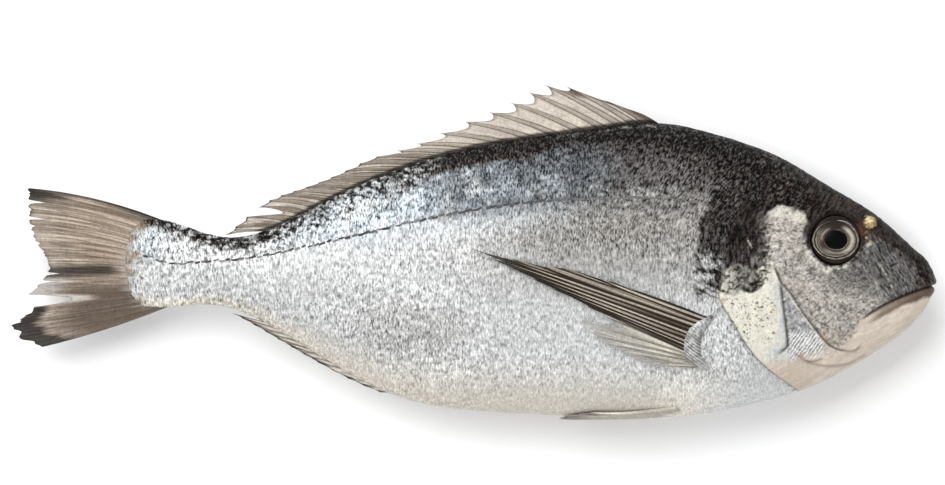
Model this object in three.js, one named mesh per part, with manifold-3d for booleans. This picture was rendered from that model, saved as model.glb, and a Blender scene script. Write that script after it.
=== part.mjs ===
// A whole raw gilt-head bream, lying on its left flank on a flat spot.
//
// +X runs along the fish to the nose, +Y to its back, +Z up out of its right flank. The origin
// is under the middle of the fish, on the surface that it lies on. All sizes are millimetres.
//
// The fish is one solid: the body, its gill covers, lips and eye rims, and the fins that grow
// from it. Only the two eyeballs are pieces of their own, each loose in its socket.

import * as THREE from "three";
import { mergeVertices } from "three/addons/utils/BufferGeometryUtils.js";
import Module from "manifold-3d";

const wasm = await Module();
wasm.setup();

// ---------------------------------------------------------------- driving dimensions

const NOSE_X = 150; // the nose's tip
const NOSE_ROUND = 4; // the last stretch, over which the head rounds off
const ROOT_X = -113; // where the body ends between the tail fin's rays
const ROOT_ROUND = 7;
const HALF_THICK = 20.2; // half of the fish's thickness at its thickest
const FLAT_DEPTH = 1.4; // how far the lower flank is pressed flat
const MID_Z = HALF_THICK - FLAT_DEPTH; // height of the fish's middle plane
const DROOP_START_X = -40; // behind this the tail sags
const DROOP = 7; // sag of the tail fin's tip
const TIP_X = -150; // the tail fin's tip

// Outlines of the body as [x, y], tail root to nose, without the fins
const BACK = [
  [-113, 9.5], [-103, 10.6], [-92, 8], [-80, 4.9], [-66, 7.4], [-49, 15.8], [-23, 27.2],
  [9, 35.6], [38, 39.8], [61, 41.9], [80, 37.8], [100, 30.6], [119, 19.3], [132, 11.2],
  [142, 2.2], [146, -1.2], [150, -4],
];
const BELLY = [
  [-113, -16.5], [-103, -18], [-88, -16.9], [-77, -18.5], [-62, -26], [-43, -37.6],
  [-23, -47.2], [6, -51.8], [41, -53.4], [67, -53.4], [90, -49.6], [106, -45.1], [119, -39.3],
  [132, -31.6], [142, -23.9], [146, -19.4], [150, -14.6],
];
// Share of HALF_THICK along the body
const THICKNESS = [
  [-113, 0.07], [-103, 0.13], [-92, 0.2], [-80, 0.27], [-62, 0.4], [-43, 0.57], [-23, 0.75],
  [9, 0.93], [41, 1], [67, 0.99], [90, 0.94], [106, 0.85], [119, 0.73], [132, 0.57],
  [142, 0.42], [150, 0.28],
];
// Section: half thickness = (1 - |v|^POWER)^(1 / ROOT), v from -1 at the belly to 1 at the back
const BACK_POWER = 2;
const BACK_ROOT = 1.7;
const BELLY_POWER = 2.3;
const BELLY_ROOT = 2;

// Lines on the side of the head as [x, y]
const GILL_EDGE = [
  [88, 17.5], [84.5, 9.7], [82.3, 0.6], [81.6, -7.5], [79.6, -15], [82.5, -20.4],
  [87.4, -28.5], [92.6, -35], [99.1, -40.5], [106, -45.5],
];
const CHEEK_EDGE = [
  [96, 12.5], [96.4, 5], [97, -2], [99.1, -9.1], [102.6, -13.5], [106.5, -19.5],
  [111.1, -25.6], [114.6, -29.8], [118.5, -31.9], [123, -32.2], [128.5, -30.8],
];
const MOUTH = [
  [151, -11.6], [145, -13.4], [138.6, -15.6], [132.5, -18.5], [128.5, -20.6], [126, -22.6],
];
const GILL_RISE = 0.9; // how far the gill cover's edge stands off the body
const CHEEK_RISE = 0.6;
const RISE_FADE = 15; // distance ahead of an edge over which it sinks to the head's surface
const END_FADE = 9; // and from either end of the edge
const MOUTH_GAP = 0.9;
const MOUTH_DEPTH = 1.6;
const LIP_WIDTH = 3;
const LIP_RISE = 0.45;

// Eyes
const EYE_X = 117.6;
const EYE_Y = 3.9;
const EYE_RADIUS = 7.9;
const EYE_DOME = 2.3; // how far the clear dome stands off the eye's rim
const EYE_BACK = 4.2; // depth of the ball behind its rim
const EYE_SINK = 0.9; // how far the rim lies below the skin
const EYE_TILT = 0.5; // share of the skin's slope that the eye follows
const SOCKET_GAP = 0.3;
const RIM_RADIUS = 0.9; // of the fold of skin round the socket
const NOSTRIL = [136.4, -3, 0.9]; // x, y, radius

// Fins: half thickness of a ray at its root and tip, and of the skin between the rays
const RAY_HALF = [0.75, 0.35];
const WEB_HALF = [0.4, 0.22];

// Mesh steps
const STATIONS = 56; // along the body
const RIBS = 32; // round a section
const EDGE_STEPS = 16; // along a line on the head
const EYE_STEPS = 24;

// ---------------------------------------------------------------- curves

/** Natural cubic spline through [x, y] points whose x rises: returns y as a function of x. */
function spline(points) {
  const n = points.length;
  const x = points.map((p) => p[0]);
  const y = points.map((p) => p[1]);
  const curve = new Array(n).fill(0); // second derivatives, 0 at the ends
  const carry = new Array(n).fill(0);
  const right = new Array(n).fill(0);
  for (let i = 1; i < n - 1; i++) {
    const before = x[i] - x[i - 1];
    const after = x[i + 1] - x[i];
    const pivot = 2 * (before + after) - before * carry[i - 1];
    const bend = 6 * ((y[i + 1] - y[i]) / after - (y[i] - y[i - 1]) / before);
    carry[i] = after / pivot;
    right[i] = (bend - before * right[i - 1]) / pivot;
  }
  for (let i = n - 2; i > 0; i--) curve[i] = right[i] - carry[i] * curve[i + 1];
  return (q) => {
    const t = Math.min(Math.max(q, x[0]), x[n - 1]);
    let i = 0;
    while (i < n - 2 && t > x[i + 1]) i++;
    const h = x[i + 1] - x[i];
    const a = (x[i + 1] - t) / h;
    const b = 1 - a;
    const sag = ((a ** 3 - a) * curve[i] + (b ** 3 - b) * curve[i + 1]) * h * h;
    return a * y[i] + b * y[i + 1] + sag / 6;
  };
}

/** A smooth curve through points, evenly spaced in t from 0 to 1: returns a point at t. */
function path(rows) {
  const along = rows[0].map((_, k) => spline(rows.map((row, i) => [i, row[k]])));
  return (t) => along.map((f) => f(t * (rows.length - 1)));
}

const lerp = THREE.MathUtils.lerp;
const back = spline(BACK);
const belly = spline(BELLY);
const thickness = spline(THICKNESS);

/** Rounds the two ends of the body off: 1 along the fish, falling to 0 at its tips. */
function endShare(x) {
  const nose = Math.max(0, (x - NOSE_X + NOSE_ROUND) / NOSE_ROUND);
  const root = Math.max(0, (ROOT_X + ROOT_ROUND - x) / ROOT_ROUND);
  return Math.sqrt(Math.max(0, 1 - Math.max(nose, root) ** 2));
}

/** Height of the middle plane, which sags towards the tail's tip. */
function midZ(x) {
  const behind = Math.max(0, (DROOP_START_X - x) / (DROOP_START_X - TIP_X));
  return MID_Z - DROOP * behind ** 2;
}

/** Half thickness of a section at v, from -1 at the belly to 1 at the back, as a share. */
function bulge(v) {
  const power = v > 0 ? BACK_POWER : BELLY_POWER;
  const root = v > 0 ? BACK_ROOT : BELLY_ROOT;
  return Math.max(0, 1 - Math.abs(v) ** power) ** (1 / root);
}

/** The section at x: its middle, half height and half thickness. */
function section(x) {
  const share = endShare(x);
  return {
    middle: (back(x) + belly(x)) / 2,
    half: ((back(x) - belly(x)) / 2) * share,
    thick: thickness(x) * HALF_THICK * share,
  };
}

/** Height of the skin above (x, y), on the right flank with side 1 or the left with -1. */
function flankZ(x, y, side = 1) {
  const s = section(x);
  const v = THREE.MathUtils.clamp((y - s.middle) / s.half, -1, 1);
  return midZ(x) + side * s.thick * bulge(v);
}

/** Unit normal of the skin there. */
function flankNormal(x, y, side) {
  const step = 0.5;
  const dx = flankZ(x + step, y, side) - flankZ(x - step, y, side);
  const dy = flankZ(x, y + step, side) - flankZ(x, y - step, side);
  return new THREE.Vector3(-dx, -dy, 2 * step).multiplyScalar(side).normalize();
}

// ---------------------------------------------------------------- solids

/** A manifold-3d solid from a closed geometry, whichever way round its faces are wound. */
function solidOf(geometry) {
  const bare = geometry.clone();
  bare.deleteAttribute("normal");
  bare.deleteAttribute("uv");
  const merged = mergeVertices(bare, 1e-4);
  const make = (triVerts) =>
    new wasm.Manifold(
      new wasm.Mesh({
        numProp: 3,
        vertProperties: new Float32Array(merged.attributes.position.array),
        triVerts,
      }),
    );
  const index = new Uint32Array(merged.index.array);
  const made = make(index);
  return made.volume() > 0 ? made : make(index.reverse());
}

/** A BufferGeometry from a manifold-3d solid. */
function geometryOf(solid) {
  const mesh = solid.getMesh();
  const geometry = new THREE.BufferGeometry();
  geometry.setAttribute("position", new THREE.BufferAttribute(mesh.vertProperties, 3));
  geometry.setIndex(new THREE.BufferAttribute(mesh.triVerts, 1));
  geometry.computeVertexNormals();
  return geometry;
}

/** Joins a list of solids. */
const join = (solids) => solids.reduce((all, one) => all.add(one));

/** Geometry from points and quads; a quad whose corners fall together becomes a triangle. */
function fromQuads(points, quads) {
  const index = [];
  for (const [a, b, c, d] of quads) {
    if (a !== b && b !== c) index.push(a, b, c);
    if (a !== d && c !== d) index.push(a, c, d);
  }
  const geometry = new THREE.BufferGeometry();
  const flat = new Float32Array(points.flatMap((p) => [p.x, p.y, p.z]));
  geometry.setAttribute("position", new THREE.BufferAttribute(flat, 3));
  geometry.setIndex(index);
  return geometry;
}

/**
 * The body, or a shell that stands off it: rings of points at stations along x, closed by a
 * point at either end. rise(x, y) is how far the skin is pushed out.
 */
function bodySolid(rise = () => 0) {
  const points = [];
  for (let i = 0; i <= STATIONS; i++) {
    const u = i / STATIONS;
    const x = lerp(ROOT_X, NOSE_X, lerp(u, 0.5 - 0.5 * Math.cos(Math.PI * u), 0.45));
    const s = section(x);
    const tip = i === 0 || i === STATIONS;
    for (let k = 0; k < (tip ? 1 : RIBS); k++) {
      const angle = -Math.PI / 2 + (2 * Math.PI * k) / RIBS;
      const v = tip ? 0 : Math.sin(angle);
      const side = Math.cos(angle) < 0 ? -1 : 1;
      const y = s.middle + s.half * v;
      const out = rise(x, y);
      const depth = tip ? 0 : (s.thick + out) * bulge(v);
      points.push(new THREE.Vector3(x + (tip ? out * Math.sign(x) : 0), y + out * v, midZ(x) + side * depth));
    }
  }
  const at = (i, k) => {
    if (i === 0) return 0;
    return i === STATIONS ? points.length - 1 : 1 + (i - 1) * RIBS + (k % RIBS);
  };
  const quads = [];
  for (let i = 0; i < STATIONS; i++) {
    for (let k = 0; k < RIBS; k++) {
      quads.push([at(i, k), at(i + 1, k), at(i + 1, k + 1), at(i, k + 1)]);
    }
  }
  return solidOf(fromQuads(points, quads));
}

/** A prism right through the fish whose outline, seen from the side, is the list of [x, y]. */
function through(outline) {
  const shape = new THREE.Shape(outline.map(([x, y]) => new THREE.Vector2(x, y)));
  const depth = 4 * HALF_THICK;
  const prism = new THREE.ExtrudeGeometry(shape, { depth, bevelEnabled: false });
  prism.translate(0, 0, MID_Z - depth / 2);
  return solidOf(prism);
}

/** Points along a smooth line through the given ones. */
function traced(points, steps = EDGE_STEPS) {
  const at = path(points);
  return Array.from({ length: steps + 1 }, (_, i) => at(i / steps));
}

/** The outline of a band round a line, width to each side, narrowing to its far end. */
function band(points, above, below) {
  const line = traced(points).map(([x, y]) => new THREE.Vector2(x, y));
  const offset = (width) =>
    line.map((p, i) => {
      const ahead = line[Math.min(i + 1, line.length - 1)];
      const behind = line[Math.max(i - 1, 0)];
      const across = ahead.clone().sub(behind).normalize();
      const share = 1 - 0.6 * (i / (line.length - 1));
      return [p.x + across.y * width * share, p.y - across.x * width * share];
    });
  return [...offset(above), ...offset(-below).reverse()];
}

/**
 * A plate of skin that is raised along an edge and sinks into the head ahead of it: a shell
 * that stands off the body, cut to the stretch between the edge and the nose.
 */
function plate(edge, height) {
  const line = traced(edge);
  const rise = (x, y) => {
    const away = line.map(([ex, ey]) => Math.hypot(x - ex, y - ey));
    const nearest = Math.min(...away);
    const place = away.indexOf(nearest);
    const [ex, ey] = line[place];
    const fromEnd = Math.min(
      Math.hypot(ex - line[0][0], ey - line[0][1]),
      Math.hypot(ex - line.at(-1)[0], ey - line.at(-1)[1]),
    );
    const ends = Math.min(1, fromEnd / END_FADE);
    return Math.max(-0.6, height * (1.15 * ends - 0.15) - (height * nearest) / RISE_FADE);
  };
  const [firstX, firstY] = line[0];
  const [lastX, lastY] = line.at(-1);
  const ahead = [[lastX + 12, lastY + 6], [lastX + 16, firstY], [firstX + 12, firstY + 4]];
  const outline = [...line, ...ahead];
  return bodySolid(rise).intersect(through(outline));
}

// ---------------------------------------------------------------- fins

/** A point on a ray: a bow from its root to its tip through a bend. */
function onRay({ root, bend, tip }, t) {
  const a = root.clone().lerp(bend, t);
  const b = bend.clone().lerp(tip, t);
  return a.lerp(b, t);
}

/**
 * A fin as a thin closed sheet: a column of points along each ray and one down the middle of
 * the skin between each pair, which stops at its reach of the rays. The rays stand proud.
 */
function finSolid(rays, { rows, reach, across }) {
  const columns = [];
  rays.forEach((ray, i) => {
    columns.push({ at: (t) => onRay(ray, t), half: RAY_HALF });
    const next = rays[i + 1];
    if (!next) return;
    const share = reach(i);
    const middle = (t) => onRay(ray, t * share).lerp(onRay(next, t * share), 0.5);
    columns.push({ at: middle, half: WEB_HALF });
  });
  const points = [];
  for (const side of [1, -1]) {
    for (const { at, half } of columns) {
      for (let r = 0; r <= rows; r++) {
        const t = r / rows;
        points.push(at(t).addScaledVector(across, side * lerp(half[0], half[1], t)));
      }
    }
  }
  const stride = rows + 1;
  const sheet = columns.length * stride;
  const front = (c, r) => c * stride + r;
  const rear = (c, r) => sheet + front(c, r);
  const quads = [];
  const last = columns.length - 1;
  for (let c = 0; c < last; c++) {
    for (let r = 0; r < rows; r++) {
      quads.push([front(c, r), front(c + 1, r), front(c + 1, r + 1), front(c, r + 1)]);
      quads.push([rear(c, r), rear(c, r + 1), rear(c + 1, r + 1), rear(c + 1, r)]);
    }
    quads.push([front(c, 0), rear(c, 0), rear(c + 1, 0), front(c + 1, 0)]);
    quads.push([front(c, rows), front(c + 1, rows), rear(c + 1, rows), rear(c, rows)]);
  }
  for (let r = 0; r < rows; r++) {
    quads.push([front(0, r), front(0, r + 1), rear(0, r + 1), rear(0, r)]);
    quads.push([front(last, r), rear(last, r), rear(last, r + 1), front(last, r + 1)]);
  }
  return solidOf(fromQuads(points, quads));
}

const UP = new THREE.Vector3(0, 0, 1);

/**
 * A fin that stands in the fish's middle plane, on its back or under its belly. base, sweep
 * and height are splines over the ray's number: where its root is, how far back its tip lies
 * from there, and how far off the body's outline.
 */
function medianFin({ count, base, sweep, height, outline, side, bow, reach, rows }) {
  const rays = Array.from({ length: count }, (_, i) => {
    const rootX = base(i);
    const tipX = rootX - sweep(i);
    const root = new THREE.Vector3(rootX, outline(rootX) - 2.5 * side, midZ(rootX));
    const tip = new THREE.Vector3(tipX, outline(tipX) + height(i) * side, midZ(tipX));
    const bend = root.clone().lerp(tip, 0.5);
    bend.y += bow * side;
    return { root, bend, tip };
  });
  return finSolid(rays, { rows, reach, across: UP });
}

function dorsalFin() {
  return medianFin({
    count: 24, // 11 spines and 13 soft rays
    base: spline([
      [0, 63.4], [3, 51.1], [7, 23.5], [11, -5.7], [15, -28.7], [19, -47.5], [23, -62.8],
    ]),
    sweep: spline([
      [0, 10.4], [1, 16.2], [2, 26], [3, 28.2], [5, 26.2], [9, 26.9], [13, 23.7], [17, 19.8],
      [23, 17.8],
    ]),
    height: spline([
      [0, 3.7], [1, 8.3], [2, 15.3], [3, 16.8], [5, 12.2], [7, 9.1], [9, 6.3], [11, 7],
      [13, 6.8], [16, 8], [20, 8.4], [22, 3.3], [23, 0.4],
    ]),
    outline: back,
    side: 1,
    bow: 1.6,
    reach: (i) => (i < 11 ? 0.84 : i === 20 ? 0.45 : 0.94),
    rows: 3,
  });
}

function analFin() {
  return medianFin({
    count: 12,
    base: spline([[0, -21], [6, -43], [11, -61]]),
    sweep: spline([[0, 9], [3, 13.5], [11, 17.5]]),
    height: spline([[0, 1.1], [3, 2.3], [6, 2.9], [9, 2.7], [11, 1.6]]),
    outline: belly,
    side: -1,
    bow: 0.3,
    reach: () => 0.95,
    rows: 2,
  });
}

function tailFin() {
  const count = 19;
  const lobe = 14; // the first ray of the lower lobe, parted from the rest by a deep tear
  const rootX = spline([[0, -95], [3, -103], [9, -109], [15, -102.5], [18, -96]]);
  const rootY = spline([[0, 8], [3, 3.5], [9, -5], [15, -15.2], [18, -16.6]]);
  const upperX = spline([
    [0, -144.5], [3, -144.2], [6, -142.5], [8, -139], [10, -137.7], [13, -144.5],
  ]);
  const upperY = spline([[0, 20.8], [3, 12.3], [6, 4.5], [8, -1.3], [10, -5.8], [13, -13.9]]);
  const lowerX = spline([[14, -142.5], [15, -147], [16, -150], [17, -146.8], [18, -139.6]]);
  const lowerY = spline([[14, -17.8], [15, -22], [16, -23.8], [17, -28.2], [18, -30.8]]);
  const rays = Array.from({ length: count }, (_, i) => {
    const [tipX, tipY] = i < lobe ? [upperX(i), upperY(i)] : [lowerX(i), lowerY(i)];
    const t = i / (count - 1);
    const curl = 3 * Math.max(0, (i - lobe + 1) / (count - lobe)); // the lobe's tip turns up
    const root = new THREE.Vector3(rootX(i), rootY(i), midZ(rootX(i)));
    const tip = new THREE.Vector3(tipX, tipY, midZ(tipX) + curl);
    const bend = root.clone().lerp(tip, 0.5);
    bend.y += lerp(4.4, -2, t);
    bend.z = midZ(bend.x) - 0.6 * curl;
    return { root, bend, tip };
  });
  const tears = { 1: 0.86, 3: 0.85, 7: 0.88, 9: 0.88, 10: 0.86, 13: 0.66 };
  return finSolid(rays, { rows: 5, reach: (i) => tears[i] ?? 0.98, across: UP });
}

/**
 * A pectoral fin lies back along the flank just off the skin. turn swings it about its root,
 * down towards the belly, as the lower one lies.
 */
function pectoralFin(side, turn) {
  const roots = path([[76, -21], [71.5, -25.5], [70, -30.5], [71, -34.5], [74.5, -37.4]]);
  const tips = path([
    [44.6, -9.4], [28.4, -4.5], [10.5, -1.3], [-0.8, 1.3], [5, -1.9], [11.5, -4.9], [18, -8.2],
    [24.5, -11.4], [31.5, -14.4], [36.5, -17.4], [31.6, -20.4], [35.8, -25], [38.8, -27.9],
    [43.9, -30.8], [50.4, -34.1], [57.6, -37],
  ]);
  const count = 16;
  const pivot = new THREE.Vector2(72, -30);
  const place = ([x, y], lift) => {
    const p = new THREE.Vector2(x, y).rotateAround(pivot, THREE.MathUtils.degToRad(turn));
    return new THREE.Vector3(p.x, p.y, flankZ(p.x, p.y, side) + side * lift);
  };
  const rays = Array.from({ length: count }, (_, i) => {
    const t = i / (count - 1);
    const root = roots(t);
    const tip = tips(t);
    const middle = [lerp(root[0], tip[0], 0.5), lerp(root[1], tip[1], 0.5)];
    return { root: place(root, -1.2), bend: place(middle, 2.6), tip: place(tip, 1.5) };
  });
  const reach = (i) => (i === 9 ? 0.6 : 0.94);
  return finSolid(rays, { rows: 4, reach, across: UP });
}

/** A pelvic fin is folded flat under the belly, a little to one side of the middle. */
function pelvicFin(side) {
  const count = 6; // a spine and five soft rays
  const across = new THREE.Vector3(0, -1, 0.35 * side).normalize();
  const rays = Array.from({ length: count }, (_, i) => {
    const t = i / (count - 1);
    const rootZ = MID_Z + side * lerp(2.5, 8.5, t);
    const tipZ = MID_Z + side * lerp(1.6, 7.5, t);
    const tipX = lerp(28, 38, t ** 2);
    const root = new THREE.Vector3(lerp(69, 66, t), lerp(-52, -50.2, t), rootZ);
    const bend = new THREE.Vector3(52, lerp(-54.5, -53, t), lerp(rootZ, tipZ, 0.5));
    const tip = new THREE.Vector3(tipX, lerp(-54.1, -52, t), tipZ);
    return { root, bend, tip };
  });
  return finSolid(rays, { rows: 4, reach: () => 0.96, across });
}

// ---------------------------------------------------------------- head

/** Puts a geometry made about the origin, facing +Z, on the head at (x, y), sunk by depth. */
function setOnHead(geometry, [x, y], side, depth, tilt = 1) {
  const out = flankNormal(x, y, side);
  const facing = new THREE.Vector3(0, 0, side).lerp(out, tilt).normalize();
  const turn = new THREE.Quaternion().setFromUnitVectors(UP, facing);
  const centre = new THREE.Vector3(x, y, flankZ(x, y, side)).addScaledVector(facing, -depth);
  return geometry.applyQuaternion(turn).translate(centre.x, centre.y, centre.z);
}

/** The eyeball, facing +Z: a half ellipse behind the rim and a lower dome ahead, grown by gap. */
function eyeballGeometry(gap = 0) {
  const half = EYE_STEPS / 2;
  const profile = Array.from({ length: half + 1 }, (_, i) => {
    const angle = -Math.PI / 2 + (Math.PI * i) / half;
    const deep = Math.sin(angle) < 0 ? EYE_BACK : EYE_DOME;
    const radius = i % half === 0 ? 0 : (EYE_RADIUS + gap) * Math.cos(angle);
    return new THREE.Vector2(radius, (deep + gap) * Math.sin(angle));
  });
  return new THREE.LatheGeometry(profile, EYE_STEPS).rotateX(Math.PI / 2);
}

const eyePlace = [EYE_X, EYE_Y];
const eyeball = (side) => setOnHead(eyeballGeometry(), eyePlace, side, EYE_SINK, EYE_TILT);
const socket = (side) =>
  solidOf(setOnHead(eyeballGeometry(SOCKET_GAP), eyePlace, side, EYE_SINK, EYE_TILT));

/** The fold of skin round an eye. */
function eyeRim(side) {
  const ring = new THREE.TorusGeometry(EYE_RADIUS + 0.6 * RIM_RADIUS, RIM_RADIUS, 6, EYE_STEPS);
  return solidOf(setOnHead(ring, eyePlace, side, EYE_SINK - 0.35, EYE_TILT));
}

function nostril(side) {
  const [x, y, radius] = NOSTRIL;
  return solidOf(setOnHead(new THREE.SphereGeometry(radius, 8, 6), [x, y], side, 0.1));
}

/** The shut mouth: a slot along its line, no deeper than MOUTH_DEPTH. */
function mouthSlot() {
  const slot = through(band(MOUTH, MOUTH_GAP / 2, MOUTH_GAP / 2));
  return slot.subtract(bodySolid(() => -MOUTH_DEPTH));
}

/** The lip above the mouth's line. */
function upperLip() {
  return bodySolid(() => LIP_RISE).intersect(through(band(MOUTH.slice(0, -1), 0, LIP_WIDTH)));
}

// ---------------------------------------------------------------- the fish

function fishSolid() {
  const sides = [1, -1];
  const grown = join([
    bodySolid(),
    plate(GILL_EDGE, GILL_RISE),
    plate(CHEEK_EDGE, CHEEK_RISE),
    upperLip(),
    ...sides.map(eyeRim),
    dorsalFin(),
    analFin(),
    tailFin(),
    pectoralFin(1, 0),
    pectoralFin(-1, 24),
    ...sides.map(pelvicFin),
  ]);
  const cuts = join([mouthSlot(), ...sides.map(socket), ...sides.map(nostril)]);
  return grown.subtract(cuts).trimByPlane([0, 0, 1], 0).simplify(0.02);
}

const skin = new THREE.MeshStandardMaterial({ color: 0xa9adb0, roughness: 0.35, metalness: 0.3 });
const eye = new THREE.MeshStandardMaterial({ color: 0x1a1512, roughness: 0.08, metalness: 0 });

function named(name, geometry, material) {
  const mesh = new THREE.Mesh(geometry, material);
  mesh.name = name;
  return mesh;
}

const bream = new THREE.Group();
bream.add(
  named("fish", geometryOf(fishSolid()), skin),
  named("eye_right", eyeball(1), eye),
  named("eye_left", eyeball(-1), eye),
);

export default bream;
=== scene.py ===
"""A whole raw gilt-head bream on a white table: the visible skin, scales, fins and eyes.

Shapes are worked out in millimetres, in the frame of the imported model: +X to the nose, +Y to
the back, +Z up out of the right flank. Meshes are written in metres.
"""

import bpy
import numpy as np
from bpy.props import FloatProperty, FloatVectorProperty, IntProperty, PointerProperty
from bpy.types import Operator, Panel, PropertyGroup
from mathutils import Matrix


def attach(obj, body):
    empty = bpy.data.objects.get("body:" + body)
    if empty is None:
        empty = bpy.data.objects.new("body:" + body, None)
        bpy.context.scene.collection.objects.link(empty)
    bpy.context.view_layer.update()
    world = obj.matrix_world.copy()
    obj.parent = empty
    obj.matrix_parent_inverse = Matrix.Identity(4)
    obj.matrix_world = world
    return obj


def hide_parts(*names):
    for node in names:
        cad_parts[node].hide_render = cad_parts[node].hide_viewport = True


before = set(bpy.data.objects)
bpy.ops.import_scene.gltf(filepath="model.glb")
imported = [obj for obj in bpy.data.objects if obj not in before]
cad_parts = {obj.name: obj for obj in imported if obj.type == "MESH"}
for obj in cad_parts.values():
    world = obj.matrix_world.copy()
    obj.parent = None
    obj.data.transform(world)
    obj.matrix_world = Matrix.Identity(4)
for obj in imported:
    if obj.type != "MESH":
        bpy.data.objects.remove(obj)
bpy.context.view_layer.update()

bl_info = {
    "name": "Whole bream",
    "version": (1, 0, 0),
    "blender": (4, 5, 0),
    "location": "View3D > Sidebar > Bream",
    "description": "Builds the skin, scales, fins and eyes of a whole raw gilt-head bream",
    "category": "Add Mesh",
}

# ------------------------------------------------------------------ the fish's own numbers
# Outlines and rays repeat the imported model's, so that each piece lies on its solid.

NOSE_X, NOSE_ROUND = 150.0, 4.0
ROOT_X, ROOT_ROUND = -113.0, 7.0
HALF_THICK, MID_Z = 20.2, 18.8
DROOP_START_X, DROOP, TIP_X = -40.0, 7.0, -150.0
BACK = [
    (-113, 9.5), (-103, 10.6), (-92, 8), (-80, 4.9), (-66, 7.4), (-49, 15.8), (-23, 27.2),
    (9, 35.6), (38, 39.8), (61, 41.9), (80, 37.8), (100, 30.6), (119, 19.3), (132, 11.2),
    (142, 2.2), (146, -1.2), (150, -4),
]
BELLY = [
    (-113, -16.5), (-103, -18), (-88, -16.9), (-77, -18.5), (-62, -26), (-43, -37.6),
    (-23, -47.2), (6, -51.8), (41, -53.4), (67, -53.4), (90, -49.6), (106, -45.1),
    (119, -39.3), (132, -31.6), (142, -23.9), (146, -19.4), (150, -14.6),
]
THICKNESS = [
    (-113, 0.07), (-103, 0.13), (-92, 0.2), (-80, 0.27), (-62, 0.4), (-43, 0.57),
    (-23, 0.75), (9, 0.93), (41, 1), (67, 0.99), (90, 0.94), (106, 0.85), (119, 0.73),
    (132, 0.57), (142, 0.42), (150, 0.28),
]
LATERAL = [
    (-113, -0.2), (-104.6, -1.6), (-99.7, -3.2), (-88.4, -3.2), (-75.4, -2.3), (-55.9, 1.3),
    (-39.7, 4.9), (-23.5, 8.8), (-7.3, 12.3), (8.9, 14.9), (28.4, 17), (41.4, 17.2),
    (67.3, 16.9), (79.6, 14.6), (90, 12),
]
# Where the gill cover ends, as (y, x), from below the belly to above the back
GILL_BACK = [
    (-56, 116), (-45.5, 106), (-40.5, 99.1), (-35, 92.6), (-28.5, 87.4), (-20.4, 82.5),
    (-15, 79.9), (-7.5, 81.6), (0.6, 82.3), (9.7, 84.5), (17.5, 88), (25, 91), (34, 95),
    (44, 100),
]
CHEEK_EDGE = [
    (96, 12.5), (96.4, 5), (97, -2), (99.1, -9.1), (102.6, -13.5), (106.5, -19.5),
    (111.1, -25.6), (114.6, -29.8), (118.5, -31.9), (123, -32.2), (128.5, -30.8),
]
COVER_SEAM = [
    (96.8, -3.2), (99.4, -9.1), (100.4, -15.6), (101.4, -23.7), (102, -28.5),
    (101.4, -31.1), (98.1, -33.4),
]
MOUTH = [
    (151, -10.8), (146, -12), (140, -14.2), (133.4, -17.2), (129, -19.9), (125.6, -22.2),
]
# Where the speckled skin meets the smooth skin of the jaw, from the throat to the lips
JAW_EDGE = [
    (90, -36), (96, -35.5), (102, -34.8), (110, -33.5), (118, -31), (122.5, -27.5), *MOUTH[::-1],
]
CHEEK_FOLD = [
    (111.1, -25.3), (115.6, -30.2), (119.2, -31.6), (123.4, -32.2), (126.3, -29.5),
]
JAW_FOLD = [(106.1, -34.9), (113.9, -37), (122.3, -36.1), (128.3, -32.6)]
MEMBRANE_FOLD = [(103.6, -32.4), (109.1, -35.5), (113.9, -34.4)]
EYE = (117.6, 3.9)
EYE_RADIUS, EYE_DOME, EYE_BACK, EYE_SINK, EYE_TILT = 7.9, 2.3, 4.2, 0.9, 0.5
NOSTRIL = [(135.1, -4.7), (136.4, -4.1), (137.8, -3.5)]
LUMP = (128.3, 9.4)
SIDES = {"right": 1, "left": -1}
# The side fins turn about this spot (x, y), the hidden one by more degrees
FIN_PIVOT = (72, -30)
SIDE_FIN_TURN = {"right": 0, "left": 24}
# Fins keep this far off the table
FIN_FLOOR = 0.02
# Scales run from the first x to the tail, and in more columns ahead of it at the nape. None
# reaches past the last x.
SCALES_FROM_X, NAPE_COLUMNS, LAST_SCALE_X = 82.0, 16, 119
RIB_PITCH = 0.95
# Degrees that the grain leans by at the nape
GRAIN_LEAN = 32
UP = np.array([0.0, 0.0, 1.0])


# ------------------------------------------------------------------ settings


def size(label, about, value, unit="LENGTH"):
    """A size in metres, or a plain number where unit is NONE."""
    return FloatProperty(name=label, description=about, default=value, unit=unit, precision=5)


def tint(label, about, red, green, blue):
    """A colour as it looks on a screen, each part from 0 to 255."""
    return FloatVectorProperty(
        name=label, description=about, subtype="COLOR_GAMMA", size=3, min=0, max=1,
        default=(red / 255, green / 255, blue / 255),
    )


class BreamSizes(PropertyGroup):
    """Sizes of the parts that can be changed without changing the fish's outline."""

    scale_length: size("Scale length", "How much of a scale shows along the fish", 0.0018)
    scale_height: size("Scale height", "How much of a scale shows across the fish", 0.0031)
    scale_lift: size("Scale lift", "How far a scale's free edge stands up", 0.00003)
    line_width: size("Side line width", "Width of the pores along the side line", 0.00078)
    gill_rise: size("Gill cover rise", "How far the gill cover stands off the body", 0.0009)
    cheek_rise: size("Cheek rise", "How far the cheek plate stands off the head", 0.0006)
    mouth_depth: size("Mouth depth", "Depth of the line between the lips", 0.0009)
    ray_thickness: size("Ray thickness", "Half thickness of a fin ray at its root", 0.00075)
    web_thickness: size("Web thickness", "Half thickness of the skin between rays", 0.00024)
    seed: IntProperty(name="Seed", description="Which of the random variations", default=7)


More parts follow.
